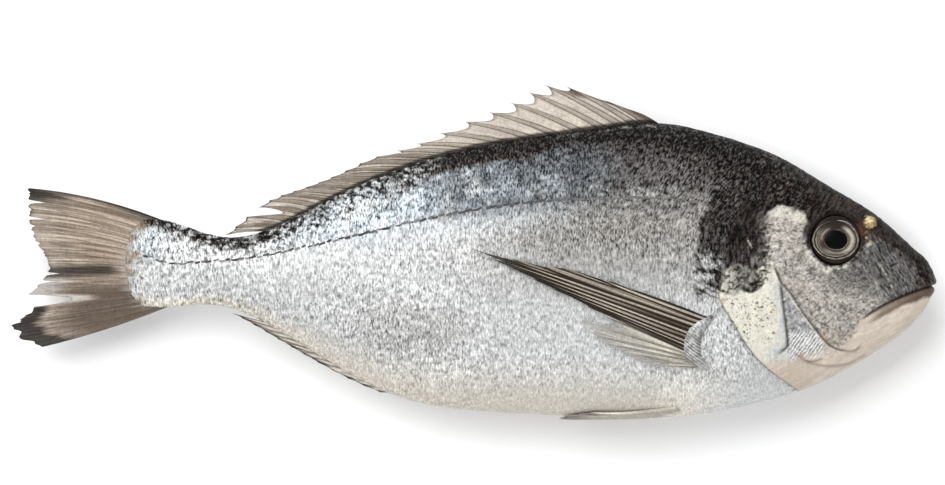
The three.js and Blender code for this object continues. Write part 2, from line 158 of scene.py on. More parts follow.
class BreamColours(PropertyGroup):
    """Colours of the skin, fins and eyes."""

    ridge: tint("Ridge", "Top of the back", 27, 21, 18)
    back: tint("Back", "Lower edge of the dark back", 50, 43, 40)
    slate: tint("Slate", "Grey of the upper flank behind the head", 78, 75, 74)
    # Silver also gives the painted glint on each eye's rim.
    silver: tint("Silver", "Bright flank", 199, 200, 199)
    # Shaded silver also gives the painted shade in the hollow of the lower flank.
    shade: tint("Shaded silver", "Flank between the back and the fin", 141, 138, 134)
    # The blue sheen is painted light: a reflection on the upper flank laid on as colour.
    sheen: tint("Blue sheen", "Cool light on the upper flank", 172, 182, 190)
    steel: tint("Steel", "Blue grey under the dark back", 76, 80, 84)
    belly: tint("Belly", "Warm white under the fish", 222, 214, 201)
    blotch: tint("Shoulder blotch", "Dark patch behind the gill cover", 37, 29, 25)
    # The head top's tone also gives the painted shade along one side of the cheek's raised edge.
    cap: tint("Head top", "Dark skin above the eye", 52, 44, 40)
    cheek: tint("Cheek", "Skin of the cheek", 169, 163, 156)
    # The crest's tone also gives the painted highlight along the cheek's raised edge.
    crest: tint("Crest", "Bright band above the cheek", 238, 232, 218)
    snout: tint("Snout", "Grey skin between eye and mouth", 86, 84, 83)
    jaw: tint("Jaw", "Lips and lower jaw", 227, 213, 198)
    # The lip's tone also gives the painted shade in the head's folds, and in part the painted shade
    # under the upper lip.
    lip: tint("Lip", "Brown band under the line of the mouth", 98, 80, 67)
    throat: tint("Throat", "Smooth skin under the gill cover", 216, 201, 185)
    cover: tint("Gill cover", "Pale lower half of the gill cover", 228, 224, 210)
    strip: tint("Gill strip", "Cool bright strip on either side of the seam", 196, 202, 205)
    gold: tint("Gold", "Band between the eyes", 208, 184, 138)
    amber: tint("Amber", "Brown corner of the gold band", 84, 58, 42)
    rust: tint("Rust", "Spot under the blotch", 176, 116, 74)
    web: tint("Back fin skin", "Skin of the back fin", 226, 215, 200)
    ray: tint("Back fin ray", "Spines and rays", 92, 76, 62)
    tail: tint("Tail skin", "Skin of the tail fin", 160, 143, 126)
    tail_ray: tint("Tail ray", "Rays of the tail fin", 94, 81, 71)
    # The margin's tone also gives, in part, painted shade beside the back fin's rays.
    margin: tint("Margin", "Dark edge of a fin", 17, 14, 13)
    side_ray: tint("Side fin ray", "Rays of the side fins", 44, 35, 29)
    side_web: tint("Side fin skin", "Skin between the rays of the side fins", 204, 194, 178)
    pupil: tint("Pupil", "Middle of the eye", 6, 5, 6)
    iris: tint("Iris", "Brown ring of the eye", 66, 56, 49)
    # The iris rim's tone also gives a painted highlight on the iris.
    iris_rim: tint("Iris rim", "Bright rings of the eye", 206, 196, 181)
    # The orbit's tone also gives painted shade: in the cover's seam, the line of the mouth, the
    # nostrils and under the gill cover's rim.
    orbit: tint("Orbit", "Dark skin round the eye", 40, 33, 30)


class BreamStage(PropertyGroup):
    """The table, the light and the camera."""

    table: size("Table", "Half width of the table", 3.0)
    distance: size("Camera distance", "From the fish's middle plane", 6.0)
    lens: size("Lens", "Focal length in millimetres, for a 36 mm sensor", 704.6, "NONE")
    look_y: size("Look at Y", "Where the camera looks, across the fish", 0.00308)
    sky: size("Sky", "Brightness of the even light", 0.42, "NONE")
    key: size("Key light", "Power of the wide lamp beyond the back", 36.0, "POWER")
    fill: size("Fill light", "Power of the wide lamp beyond the belly", 9.6, "POWER")
    albedo: size("Albedo", "Share of light that display colours give back", 0.8, "NONE")


def linear(colour):
    """A display colour as light: the usual screen curve undone."""
    c = np.array(colour, float)
    return np.where(c <= 0.04045, c / 12.92, ((c + 0.055) / 1.055) ** 2.4)


def tones():
    """All the colours as light, times the albedo."""
    group = bpy.context.scene.bream_colours
    share = bpy.context.scene.bream_stage.albedo
    return {key: linear(getattr(group, key)) * share for key in BreamColours.__annotations__}


def sizes():
    """All the sizes in millimetres."""
    group = bpy.context.scene.bream_sizes
    return {key: getattr(group, key) * 1000 for key in BreamSizes.__annotations__ if key != "seed"}


# ------------------------------------------------------------------ numbers


def spline(keys):
    """Natural cubic spline: cubic pieces whose slopes and bends agree, straight at both ends."""
    x, y = np.array(keys, float).T
    n, h = len(x), np.diff(x)
    matrix, right = np.eye(n), np.zeros(n)
    for i in range(1, n - 1):
        matrix[i, i - 1 : i + 2] = h[i - 1], 2 * (h[i - 1] + h[i]), h[i]
        right[i] = 6 * ((y[i + 1] - y[i]) / h[i] - (y[i] - y[i - 1]) / h[i - 1])
    bend = np.linalg.solve(matrix, right)

    def at(q):
        q = np.clip(q, x[0], x[-1])
        i = np.clip(np.searchsorted(x, q) - 1, 0, n - 2)
        a = (x[i + 1] - q) / h[i]
        b = 1 - a
        sag = ((a**3 - a) * bend[i] + (b**3 - b) * bend[i + 1]) * h[i] ** 2 / 6
        return a * y[i] + b * y[i + 1] + sag

    return at


def path(points):
    """A smooth curve through points, evenly spaced from 0 to 1."""
    last = len(points) - 1
    parts = [spline([(i, p[k]) for i, p in enumerate(points)]) for k in range(len(points[0]))]
    return lambda t: np.stack([part(np.asarray(t) * last) for part in parts], -1)


def traced(points, steps=26):
    """Points along a smooth line."""
    return path(points)(np.linspace(0, 1, steps + 1))


def soft(low, high, x):
    """0 below low, 1 above high, and an S curve between."""
    t = np.clip((x - low) / (high - low), 0, 1)
    return t * t * (3 - 2 * t)


def mix(a, b, t):
    """From a to b as t goes from 0 to 1."""
    return a + (b - a) * t


def bell(x):
    """1 at 0, falling off on both sides to almost nothing at 2."""
    return np.exp(-(x**2))


def unit(v):
    """Vectors brought to length 1."""
    return v / np.maximum(np.linalg.norm(v, axis=-1, keepdims=True), 1e-9)


def plain(tone, x):
    """One tone all over, as a colour for each x."""
    return np.zeros(np.shape(x) + (3,)) + tone


def over(base, tone, share):
    """Colours with a tone laid over them by share."""
    return base + (tone - base) * np.clip(share, 0, 1)[..., None]


def coats(colour, *layers):
    """Colours with tones laid over them in turn, given as pairs of a tone and its share."""
    for tone, share in layers:
        colour = over(colour, tone, share)
    return colour


def grain(x, y, seed=0):
    """Value noise, -1 to 1: hashed numbers on whole-number corners, eased between them."""
    i, j = np.floor(x), np.floor(y)
    u, v = x - i, y - j
    u, v = u * u * (3 - 2 * u), v * v * (3 - 2 * v)
    i, j = i.astype(np.int64), j.astype(np.int64)

    def corner(a, b):
        h = (a * 374761393 + b * 668265263 + seed * 362437) & 0x7FFFFFFF
        h = ((h ^ (h >> 13)) * 1274126177) & 0x7FFFFFFF
        return ((h ^ (h >> 16)) & 0xFFFF) / 32767.5 - 1

    near = mix(corner(i, j), corner(i + 1, j), u)
    return mix(near, mix(corner(i, j + 1), corner(i + 1, j + 1), u), v)


def clouds(x, y, width, seed=0, layers=3):
    """Layers of value noise, each half as wide and half as strong, about -1 to 1."""
    total = sum(
        grain(x / width * 2**k + 7.3 * k, y / width * 2**k - 3.1 * k, seed + k) / 2**k
        for k in range(layers)
    )
    return total / 1.3


def strokes(x, y, width, length, degrees, seed=0, layers=2):
    """Value noise drawn out into strokes: their width, their length and their direction."""
    c, s = np.cos(np.radians(degrees)), np.sin(np.radians(degrees))
    return clouds((y * c - x * s) / width, (x * c + y * s) / length, 1.0, seed, layers)


def speckled(colour, noise, shade, sparkle):
    """Noise as light and shade in bright skin, and as bright specks in dark skin."""
    glint = sparkle * np.maximum(noise, -0.3)
    return np.clip(colour * (1 + shade * noise)[..., None] + glint[..., None], 0.002, 1)


def nearest(line, x, y):
    """Distance to a polyline, the share of it passed at the nearest spot, and the side: +1 left."""
    best, share, side = np.full(np.shape(x), 1e9), np.zeros(np.shape(x)), np.ones(np.shape(x))
    last = len(line) - 1
    for k in range(last):
        (ax, ay), (bx, by) = line[k], line[k + 1]
        dx, dy = bx - ax, by - ay
        t = np.clip(((x - ax) * dx + (y - ay) * dy) / (dx * dx + dy * dy), 0, 1)
        gx, gy = x - ax - t * dx, y - ay - t * dy
        away = np.hypot(gx, gy)
        closer = away < best
        best = np.where(closer, away, best)
        share = np.where(closer, (k + t) / last, share)
        side = np.where(closer, np.sign(dx * gy - dy * gx), side)
    return best, share, side


def stroke(line, x, y, width):
    """1 on a line, falling off to nothing at its width and towards its two ends."""
    away, share, _ = nearest(line, x, y)
    return bell(away / width) * soft(0, 0.12, share) * soft(0, 0.12, 1 - share)


# ------------------------------------------------------------------ the body's surface

back, belly, thickness = spline(BACK), spline(BELLY), spline(THICKNESS)
lateral, gill_x = spline(LATERAL), spline(GILL_BACK)


def section(x):
    """The section at x: its middle, half height and half thickness, rounded off at both ends."""
    nose = np.clip((x - NOSE_X + NOSE_ROUND) / NOSE_ROUND, 0, 1)
    root = np.clip((ROOT_X + ROOT_ROUND - x) / ROOT_ROUND, 0, 1)
    share = np.sqrt(np.clip(1 - np.maximum(nose, root) ** 2, 0, 1))
    high, low = back(x), belly(x)
    return (high + low) / 2, (high - low) / 2 * share, thickness(x) * HALF_THICK * share


def mid_z(x):
    """Height of the middle plane, which sags towards the tail's tip by a parabola."""
    behind = np.clip((DROOP_START_X - x) / (DROOP_START_X - TIP_X), 0, None)
    return MID_Z - DROOP * behind**2


def bulge(v):
    """Half thickness at v, -1 at the belly to 1 at the back: (1 - |v|^p)^(1/q)."""
    v = np.clip(v, -1, 1)
    high, low = 1 - v**2, 1 - np.abs(v) ** 2.3
    return np.where(v > 0, np.clip(high, 0, 1) ** (1 / 1.7), np.clip(low, 0, 1) ** 0.5)


def on_body(x, angle):
    """The skin at x, turned by angle: -90 degrees at the belly, 0 on the right, 90 at the back."""
    middle, half, thick = section(x)
    v = np.sin(angle)
    side = np.where(np.cos(angle) < 0, -1, 1)
    return np.stack([x + 0 * v, middle + half * v, mid_z(x) + side * thick * bulge(v)], -1)


def flank_z(x, y, side):
    """Height of the skin above (x, y) on one side."""
    middle, half, thick = section(x)
    return mid_z(x) + side * thick * bulge((y - middle) / np.maximum(half, 1e-6))


def flank_normal(x, y, side):
    """Unit normal of the skin there, from two short differences."""
    step = 0.5
    dx = flank_z(x + step, y, side) - flank_z(x - step, y, side)
    dy = flank_z(x, y + step, side) - flank_z(x, y - step, side)
    out = np.stack([-dx, -dy, 2 * step + 0 * dx], -1) * side
    return unit(out)


def body_normals(x, angle):
    """Unit normals of the plain body: its slopes along the fish and round it, crossed."""
    x = np.clip(x, ROOT_X + 0.4, NOSE_X - 0.1)
    along = on_body(x + 0.1, angle) - on_body(x - 0.1, angle)
    round_it = on_body(x, angle + 0.02) - on_body(x, angle - 0.02)
    return unit(np.cross(along, round_it))


def grid_normals(points):
    """Unit normals of a grid of points: its two differences crossed."""
    return unit(np.cross(np.gradient(points, axis=0), np.gradient(points, axis=1)))


def evened(t):
    """Angles pulled so that even steps are about as long on the flank as on the back."""
    return t - 0.2 * np.sin(2 * t)


class ArcTable:
    """Turns distance round the body from the side line into an angle, for one side."""

    def __init__(self, side):
        self.x = np.linspace(ROOT_X, 120, 240)
        self.arc = np.linspace(-100, 50, 501)
        angle = np.linspace(-np.pi / 2, np.pi / 2, 361)
        if side < 0:
            angle = np.pi - angle
        x = self.x[:, None] + 0 * angle[None]
        skin = on_body(x, angle[None] + 0 * x)
        step = np.linalg.norm(np.diff(skin, axis=1), axis=-1)
        length = np.concatenate([np.zeros((len(x), 1)), np.cumsum(step, 1)], 1)
        rows, self.low, self.high = [], [], []
        for heights, run, place in zip(skin[..., 1], length, self.x):
            start = np.interp(lateral(place), heights, run)
            rows.append(np.interp(self.arc, run - start, angle))
            self.low.append(-start)
            self.high.append(run[-1] - start)
        self.angle = np.array(rows)

    def reach(self, x):
        """How far the belly and the back are from the side line at x."""
        return np.interp(x, self.x, self.low), np.interp(x, self.x, self.high)

    def at(self, x, arc):
        """The angle there, read between the four nearest entries."""
        u = np.clip((x - self.x[0]) / (self.x[1] - self.x[0]), 0, len(self.x) - 1.001)
        v = np.clip((arc - self.arc[0]) / (self.arc[1] - self.arc[0]), 0, len(self.arc) - 1.001)
        i, j = u.astype(int), v.astype(int)
        u, v, a = u - i, v - j, self.angle
        return mix(mix(a[i, j], a[i + 1, j], u), mix(a[i, j + 1], a[i + 1, j + 1], u), v)


# ------------------------------------------------------------------ colours of the skin

# How deep the dark of the back reaches, as (x, depth)
band_depth = spline([
    (-113, 1.2), (-104, 2.4), (-92, 3.8), (-75, 4.2), (-60, 2.4), (-40, 2.4),
    (-24, 3.4), (-13, 5.2),
    (-2, 5.6), (7, 6.2), (17, 6.6), (28, 5.6), (40, 7), (55, 9), (80, 13), (100, 20),
])
# Where the shoulder patch starts, as (y, x)
blotch_edge = spline([
    (-17, 74), (-9, 72.2), (-2.1, 72.0), (-0.7, 71.9), (1.1, 73.5), (3.3, 73.3), (7, 73.3),
    (10.2, 73.7), (13.1, 75.5), (18, 77), (30, 80),
])
# The foot of the dark top of the head, as (x, y)
cap_edge = spline([
    (70, 19), (84, 17), (90, 14.5), (95, 12.6), (98, 15), (103.3, 13.8), (107.6, 12.3),
    (109.4, 9.4), (112, 7.4), (124, 8), (130, 5.5), (137, 1.5), (150, -8),
])
# Where the silver skin gives way to the tail fin, as (y, x)
root_edge = spline([
    (-17.5, -104.9), (-13.9, -109.6), (-9.4, -111.2), (-2.6, -109.2), (5.5, -109), (7.8, -106.9),
])
cheek_line, seam_line, mouth_line = traced(CHEEK_EDGE), traced(COVER_SEAM), traced(MOUTH)


def streak_grain(x, y):
    """The skin's fine drawn-out grain: upright on the flank, leaning to the nose at the nape."""
    upright = strokes(x, y, 0.42, 1.5, 90, 14)
    leaning = strokes(x, y, 0.42, 1.7, 58, 15)
    return mix(upright, leaning, skin_slant(x, y))


def body_colour(x, y, tone):
    """The body's colours: silver, greyer and darker towards the back and the head, with a painted
    sheen on the upper flank and painted shade in a hollow of the lower flank.
    """
    ragged, broad = clouds(x, y, 2.2, 3), clouds(x, y, 13, 8)
    ridge, keel, line = back(x), belly(x), lateral(x)
    colour = plain(tone["silver"], x)
    # Painted shade in the hollow of the lower flank, with a faint broad mottle of the skin's own tone.
    hollow = np.exp(-(((x + 22) / 24) ** 2 + ((y + 26) / 9) ** 2))
    colour = over(colour, tone["shade"], 0.42 * hollow + 0.1 * broad)
    upper = soft(-22, 37, x) * soft(-23, 8, y)
    colour = over(colour, tone["shade"], upper)
    colour = over(colour, tone["slate"], 0.95 * soft(10, 32, x) * soft(9, 25, y))
    # Painted sheen: a cool reflection of light on the upper flank, laid on as colour where cool is
    # high.
    cool = soft(-1.5, 2.5, y - line) * soft(-80, -40, x) * soft(34, 6, x)
    cool = np.maximum(cool, 0.6 * soft(-92, -106, x) * soft(-8, 2, y))
    cool = np.maximum(cool, 0.75 * soft(-12, 2, y - line) * soft(-70, -30, x) * soft(52, 20, x))
    colour = over(colour, tone["sheen"], 0.9 * cool * soft(-1.2, 0.3, clouds(x, y, 7, 5)))
    warm = soft(0.7, 1.0, (line - y) / (line - keel)) * soft(90, 60, x)
    colour = over(colour, tone["belly"], warm * 0.95)
    dusk = soft(-26, 0, x) * soft(52, 32, x) * soft(-6, 3, y - line)
    colour = over(colour, tone["steel"], 0.9 * dusk * soft(-1.2, 0.4, clouds(x, y, 4, 9)))
    depth = band_depth(x)
    edge = mix(0.7, 6.5, soft(14, 44, x))
    rise = y - (ridge - depth) + 0.9 * ragged
    colour = over(colour, tone["back"], soft(-1, 1, rise / edge))
    colour = over(colour, tone["ridge"], soft(0.1, 0.6, (y - ridge + depth) / depth))
    lobe = soft(4.5, 2.6, np.hypot((x + 20) / 3.2, (y - ridge + 4.5) / 1.0) + 0.8 * ragged)
    colour = over(colour, tone["ridge"], 0.5 * lobe)
    uneven = strokes(x, y, 1.5, 4.5, 90, 12) * soft(-3, 3, y - line)
    uneven = uneven * soft(-70, -40, x) * soft(75, 55, x)
    colour = colour * (1 + 0.3 * uneven)[..., None]
    fringe = bell((ridge - y - 1.1) / 0.45) * soft(20, 34, x) * soft(72, 62, x)
    colour = over(colour, tone["silver"], 0.3 * fringe * soft(-0.1, 0.6, clouds(x, 2 * y, 1.1, 11)))
    colour = colour * (1 + 0.28 * soft(-36, -46, y) * soft(55, 72, x))[..., None]
    beyond = soft(2.2, -2.2, x - root_edge(y) + 3.2 * clouds(x, y, 1.5, 13))
    finny = tone["tail"] * 0.72 * (1 + 0.6 * strokes(x, y, 0.4, 6, 4, 19))[..., None]
    return over(colour, finny, 0.9 * beyond)


def piebald(x, y):
    """How far neighbouring scales differ, dark beside bright: under the back fin and at the tail."""
    ridge, line = back(x), lateral(x)
    stripe = soft(-75, -62, x) * soft(-6, -22, x) * soft(11, 6, ridge - y)
    rear = soft(-106, -98, x) * soft(-58, -66, x) * soft(8, 3.5, ridge - y)
    stripe = np.maximum(stripe, 0.95 * rear)
    along_line = 0.4 * soft(28, 42, x) * soft(72, 62, x) * soft(5, 2, np.abs(y - line - 1))
    foot = soft(70.5, 72.5, x) * soft(83, 80, x) * soft(-17, -13, y) * soft(0.5, -3, y)
    return np.maximum(np.maximum(stripe, along_line), 0.9 * foot)


def blotch_mask(x, y):
    """The dark shoulder patch: 1 inside its ragged edge, breaking into specks at its foot."""
    ragged = clouds(x, y, 2.2, 21)
    inside = soft(-0.35, 0.35, x - blotch_edge(y) + 0.9 * ragged)
    core = soft(-1.5, 1.5, y - np.interp(x, [72, 77, 79, 82, 83], [0, 0, -12, -17, -17]) + ragged)
    specks = soft(-0.15, 0.15, clouds(x, y, 0.9, 23)) * soft(-17, -12, y)
    return inside * np.maximum(core, 0.8 * specks)


def cover_dark(x, y):
    """The blotch's reach over the gill cover, with pale squiggles along its foot."""
    ragged = clouds(x, y, 2.0, 24)
    foot = np.interp(x, [80, 84, 87, 90, 93, 97, 100], [-13.5, -14, -12.6, -13.6, -11.6, -7.6, -4])
    inside = soft(-0.7, 0.5, y - foot + 0.9 * ragged)
    front = soft(1.0, -0.8, (x - 94.6) / 2.4 + 0.6 * ragged + 1.2 * grain(x / 0.6, y / 0.6, 29))
    ring = bell((np.hypot(x - 85.6, y + 5.8) - 1.7) / 0.35)
    wavy = soft(0.3, 0.0, np.abs(clouds(x, y, 2.4, 25)))
    squiggles = wavy * soft(-0.7, 0.5, grain(x / 0.6, y / 0.6, 26)) * soft(-3, -8, y)
    rear = soft(86.5, 83.5, x + 0.7 * ragged) * soft(-3, -7, y)
    rear = rear * soft(-0.5, 0.1, grain(x / 0.55, y / 0.7, 27) + 0.3 * ragged)
    pale = np.maximum(np.maximum(0.35 * ring, 0.4 * squiggles), 0.7 * rear)
    return inside * front * (1 - pale)


def rib_waves(x, y, fine):
    """Slanting waves of the ribs under the cheek, pushed about by fine noise."""
    return np.sin(2 * np.pi * (y * 0.6 - x * 0.8) / RIB_PITCH + 1.8 * fine)


def head_colour(x, y, tone):
    """The head's colours, zone by zone, each laid over the last with a ragged edge."""
    ragged, fine = clouds(x, y, 2.4, 31), clouds(x, y, 0.9, 32)
    speck = 0.65 * grain(x / 0.42, y / 0.42, 36) + 0.45 * grain(x / 0.85, y / 0.85, 37)
    colour = plain(tone["cheek"], x)
    from_cheek, _, side = nearest(cheek_line, x, y)
    behind = soft(0.3, -0.4, side * from_cheek)
    snout = soft(119, 135, x + 0.5 * (y + 8) + 1.5 * ragged) * soft(-24, -12, y + 0.1 * x - 13)
    colour = over(colour, tone["snout"], 0.95 * snout)
    from_eye = np.hypot(x - EYE[0], y - EYE[1] - 1.5)
    socket = soft(11.6, 10.0, from_eye + 0.6 * ragged) * soft(2, 6, y)
    under_eye = soft(15, 8.5, np.hypot(x - EYE[0] - 5, y - EYE[1] + 5))
    colour = over(colour, tone["snout"], 0.62 * under_eye)
    front = soft(9, 3, back(x) - y + 1.5 * ragged) * soft(124, 130, x)
    lip = soft(5.5, 2, np.hypot(x - 146.5, y + 8.5))
    colour = over(colour, tone["cap"], 0.85 * np.maximum(front, lip))
    texture = strokes(x, y, 0.32, 1.5, -62, 43)
    texture = mix(speck, 0.5 * speck + texture, soft(0.2, 0.8, snout))
    colour = speckled(colour, texture, 0.9 * (1 - 0.2 * snout), 0.03 + 0.03 * snout)
    pale = plain(tone["cover"], x)
    near_seam = nearest(seam_line, x, y)
    stripe = soft(4.2, 1.0, near_seam[0]) * soft(-9, -12, y)
    pale = over(pale, tone["strip"], 0.8 * stripe * soft(-0.7, 0.3, strokes(x, y, 0.4, 3, 84, 44)))
    pale = speckled(pale, speck, 0.16, 0)
    sunny = soft(-0.1, 0.5, clouds(x, y, 1.0, 45)) * soft(4.4, 1.5, np.hypot((x - 95) * 0.6, y + 19))
    pale = over(pale, tone["gold"], 0.4 * sunny)
    dots = soft(0.44, 0.62, grain(x / 0.46, y / 0.5, 41) + 0.12 * ragged) * soft(-13, -16, y)
    pale = over(pale, tone["cap"], 0.8 * dots * soft(-31, -27, y) * soft(99, 97, x))
    strip = soft(-0.3, 0.2, x - np.interp(-y, [3, 9, 16, 24, 29], [97, 99.4, 100.4, 101.4, 102]))
    grey = over(plain(tone["silver"], x), tone["snout"], 0.45 + 0.3 * fine)
    grey = speckled(grey, speck, 0.7, 0.05)
    pale = over(pale, grey, strip * soft(-7, -9, y))
    ribs = soft(-25.2, -26.5, y) * soft(-36.5, -34.5, y) * soft(101.2, 103, x) * soft(115, 113, x)
    wave = rib_waves(x, y, fine) + 0.6 * fine
    bars = soft(-0.9, 0.6, wave + 0.6 * speck)
    bars = over(plain(tone["shade"], x), tone["silver"] * 1.75, bars)
    pale = over(pale, bars, 0.85 * ribs)
    colour = over(colour, pale, behind * soft(0, -8, y))
    lilac = soft(-0.1, 0.9, clouds(x, y, 2.6, 28)) * soft(84, 88, x) + 0.25 * soft(0.1, 0.8, fine)
    dark = over(plain(tone["blotch"], x), tone["shade"], 0.6 * lilac)
    dark = speckled(dark, streak_grain(x, y), 0.6, 0.06)
    colour = over(colour, dark, cover_dark(x, y) * behind)
    cream = soft(3.0, 0.8, np.abs(y - cap_edge(x) + 1.8 + 1.1 * ragged))
    cream = cream * soft(109.5, 106.5, x + ragged) * soft(94.5, 98.5, x + 0.4 * ragged)
    colour = over(colour, tone["crest"], 0.65 * cream * soft(-0.6, 0.0, fine))
    edge = soft(2.8, 0.4, np.abs(x - 98.4 + 0.9 * ragged)) * soft(-9, -4, y) * soft(13, 9, y)
    colour = over(colour, tone["crest"], 0.4 * edge * soft(-0.2, 0.6, fine + speck))
    colour = over(colour, tone["orbit"], 0.92 * socket)
    above = soft(-0.7, 0.7, y - cap_edge(x) + 1.1 * ragged)
    hood = over(plain(tone["cap"], x), tone["ridge"], 0.7 * soft(-0.5, 0.6, ragged))
    hood = speckled(hood, streak_grain(x, y), 0.6, 0.045 * mix(1, 0.4, soft(110, 125, x)))
    colour = over(colour, hood, above)
    low_edge = np.interp(x, *np.array(JAW_EDGE).T)
    smooth = over(plain(tone["jaw"], x), tone["throat"], soft(114, 106, x))
    smooth = speckled(smooth, strokes(x, y, 0.5, 3.4, 27, 46), 0.14, 0)
    depth = low_edge - y
    # The brown band under the mouth's line: partly the lower lip's own colour, partly painted shade
    # under the upper lip.
    band = soft(3.9, 2.3, depth + 0.5 * ragged) * soft(126, 133, x)
    smooth = over(smooth, tone["lip"], band * mix(0.75, 0.95, soft(134, 144, x)))
    blur = mix(2.4, 0.25, soft(125, 131, x))
    return over(colour, smooth, soft(blur, -blur, y - low_edge + 0.6 * blur * fine))


def gold_mask(x, y):
    """The lump and the net of gold before the eye."""
    lump = np.hypot(x - LUMP[0] - 0.4, (y - LUMP[1]) * 0.95) + 0.8 * clouds(x, y, 1.2, 51)
    net = soft(2.8, 1.4, np.hypot((x - 128.4) * 1.4, y - 4.6))
    net = net * soft(-0.1, 0.4, clouds(x, y, 1.1, 52))
    return np.maximum(soft(2.5, 1.5, lump), 0.7 * net)


def head_marks(x, y, tone, colour):
    """Lines and spots on the head laid over its zones, among them painted shade in its seam, creases,
    mouth and nostrils and under the gill cover's rim, and a painted highlight along the cheek's edge.
    """
    fine = clouds(x, y, 0.8, 64)
    ring = np.hypot(x - EYE[0], (y - EYE[1]) / 0.9)
    colour = over(colour, tone["orbit"], soft(10.4, 9.2, ring + 0.5 * clouds(x, y, 1.5, 61)))
    amber = soft(4.0, 0.9, np.hypot((x - 126.6) * 1.1, y - 7.2) + 0.7 * fine)
    colour = over(colour, tone["amber"], 0.7 * amber)
    gold = speckled(plain(tone["gold"], x), 1.2 * fine, 0.4, 0.05)
    colour = over(colour, gold, gold_mask(x, y))
    for line, width, strength in (
        ([(107.8, 2.5), (109.2, -1), (112, -4.2), (116.4, -7.4)], 0.95, 0.75),
        ([(113.5, -5.0), (117, -5.6), (120.5, -4.8), (122.5, -3.2)], 0.8, 0.6),
        ([(121, -3), (124.4, -0.8), (127.4, 1.6), (129.6, 3.6)], 0.5, 0.5),
        ([(131.2, -3.2), (133.4, -6.6), (135, -9.6), (136.4, -12.4)], 0.3, 0.5),
        ([(129.6, -8), (131.4, -11.6), (133, -14.4)], 0.25, 0.35),
        ([(126.4, -4.4), (127.8, -7.2), (128.8, -9.6)], 0.3, 0.4),
        ([(81.6, 14.4), (83.4, 13.8), (85.2, 14)], 0.3, 0.8),
        ([(88.4, 4.6), (89.6, 2.6), (90.6, 1)], 0.22, 0.7),
    ):
        mark = stroke(traced(line), x, y, width) * soft(-0.6, 0.5, fine)
        colour = over(colour, tone["crest"], strength * mark)
    # Painted shade in the groove of the gill cover's seam.
    colour = over(colour, tone["orbit"], 0.9 * stroke(seam_line, x, y, 0.42))
    # Painted shade along one side of the cheek's raised edge and a painted highlight along the other.
    edge, share, side = nearest(cheek_line, x, y)
    shade = bell((edge - 0.25) / 0.5) * (side > 0) * soft(0.12, 0.4, share)
    colour = over(colour, tone["cap"], 0.75 * shade * soft(1, 0.75, share))
    bright = bell((edge - 0.35) / 0.28) * (side < 0) * soft(0.2, 0.4, share)
    colour = over(colour, tone["crest"], 0.8 * bright * soft(1, 0.6, share) * soft(-0.9, 0.4, fine))
    # Painted shade in the line between the lips.
    colour = over(colour, tone["orbit"], 0.75 * stroke(mouth_line, x, y, 0.38))
    red = soft(3.2, 1.0, np.hypot((x - 146) * 0.7, y + 10.6))
    colour = over(colour, tone["lip"] * 0.7, 0.5 * red * soft(-0.6, 0.4, fine))
    # Painted shade in the creases of the cheek, jaw and membrane folds.
    for fold, strength in ((CHEEK_FOLD, 0.45), (JAW_FOLD, 0.35), (MEMBRANE_FOLD, 0.4)):
        colour = over(colour, tone["lip"], strength * stroke(traced(fold), x, y, 0.5))
    # Painted shade in the nostrils.
    colour = over(colour, tone["orbit"], 0.95 * stroke(NOSTRIL, x, y, 0.3))
    sunny = 0.35 * soft(3.6, 1.6, np.hypot((x - 116) * 0.85, y + 27.2))
    colour = over(colour, tone["gold"], sunny * soft(-0.4, 0.4, clouds(x, y, 0.8, 65)))
    spots = np.minimum(np.hypot(x - 81.2, y + 15.4), np.hypot(x - 106.3, y + 33.4) * 1.3)
    colour = over(colour, tone["rust"], 0.6 * soft(1.0, 0.4, spots + 0.3 * fine))
    # Painted shadow along the lower part of the gill cover's free edge, where it stands off the body.
    rim = soft(0.85, 0.3, x - gill_x(y)) * soft(-14, -17, y)
    return over(colour, tone["orbit"], 0.85 * rim)


def skin_colour(x, y, tone):
    """The colour of the fish's skin at (x, y), and how silvery it is."""
    head = soft(-0.4, 0.4, x - gill_x(y))
    colour = mix(body_colour(x, y, tone), head_colour(x, y, tone), head[..., None])
    dark = speckled(plain(tone["blotch"], x), streak_grain(x, y), 0.6, 0.045)
    mark = blotch_mask(x, y) * soft(97, 90, x) * soft(30, 17, y - 0.2 * (x - 80))
    colour = over(colour, dark, 0.95 * mark * mix(1, soft(-3, 3, y), head))
    red = soft(2.6, 0.8, np.hypot(x - 79.9, y + 14.4))
    colour = over(colour, tone["amber"], 0.45 * red * (1 - head))
    colour = np.where((head > 0.5)[..., None], head_marks(x, y, tone, colour), colour)
    light = colour.mean(-1)
    cool = soft(0.95, 0.8, colour[..., 0] / light - 0.2)
    return colour, soft(0.1, 0.5, light) * mix(1, 0.5, head) * cool


def skin_texture(x, y):
    """How strong the fine grain is: most over the side line, least on the belly."""
    line = lateral(x)
    low = np.interp(x, [-90, -25, 10, 45, 75], [0.8, 0.9, 0.6, 0.45, 0.7])
    middle = np.interp(x, [-90, -55, 15, 41], [0.8, 0.6, 0.75, 1.2])
    keel = mix(1, 0.45, soft(16, 2, y - belly(x)) * soft(-75, -50, x))
    flank = mix(low * keel, middle, soft(-28, -6, y - line))
    return mix(flank, 1.15, soft(-3, 6, y - line)) * mix(1, 0.8, soft(84, 92, x))


def skin_slant(x, y):
    """Which way the grain runs: 0 upright, 1 leaning to the nose."""
    return soft(25, 70, x) * soft(0, 18, y)


# ------------------------------------------------------------------ meshes


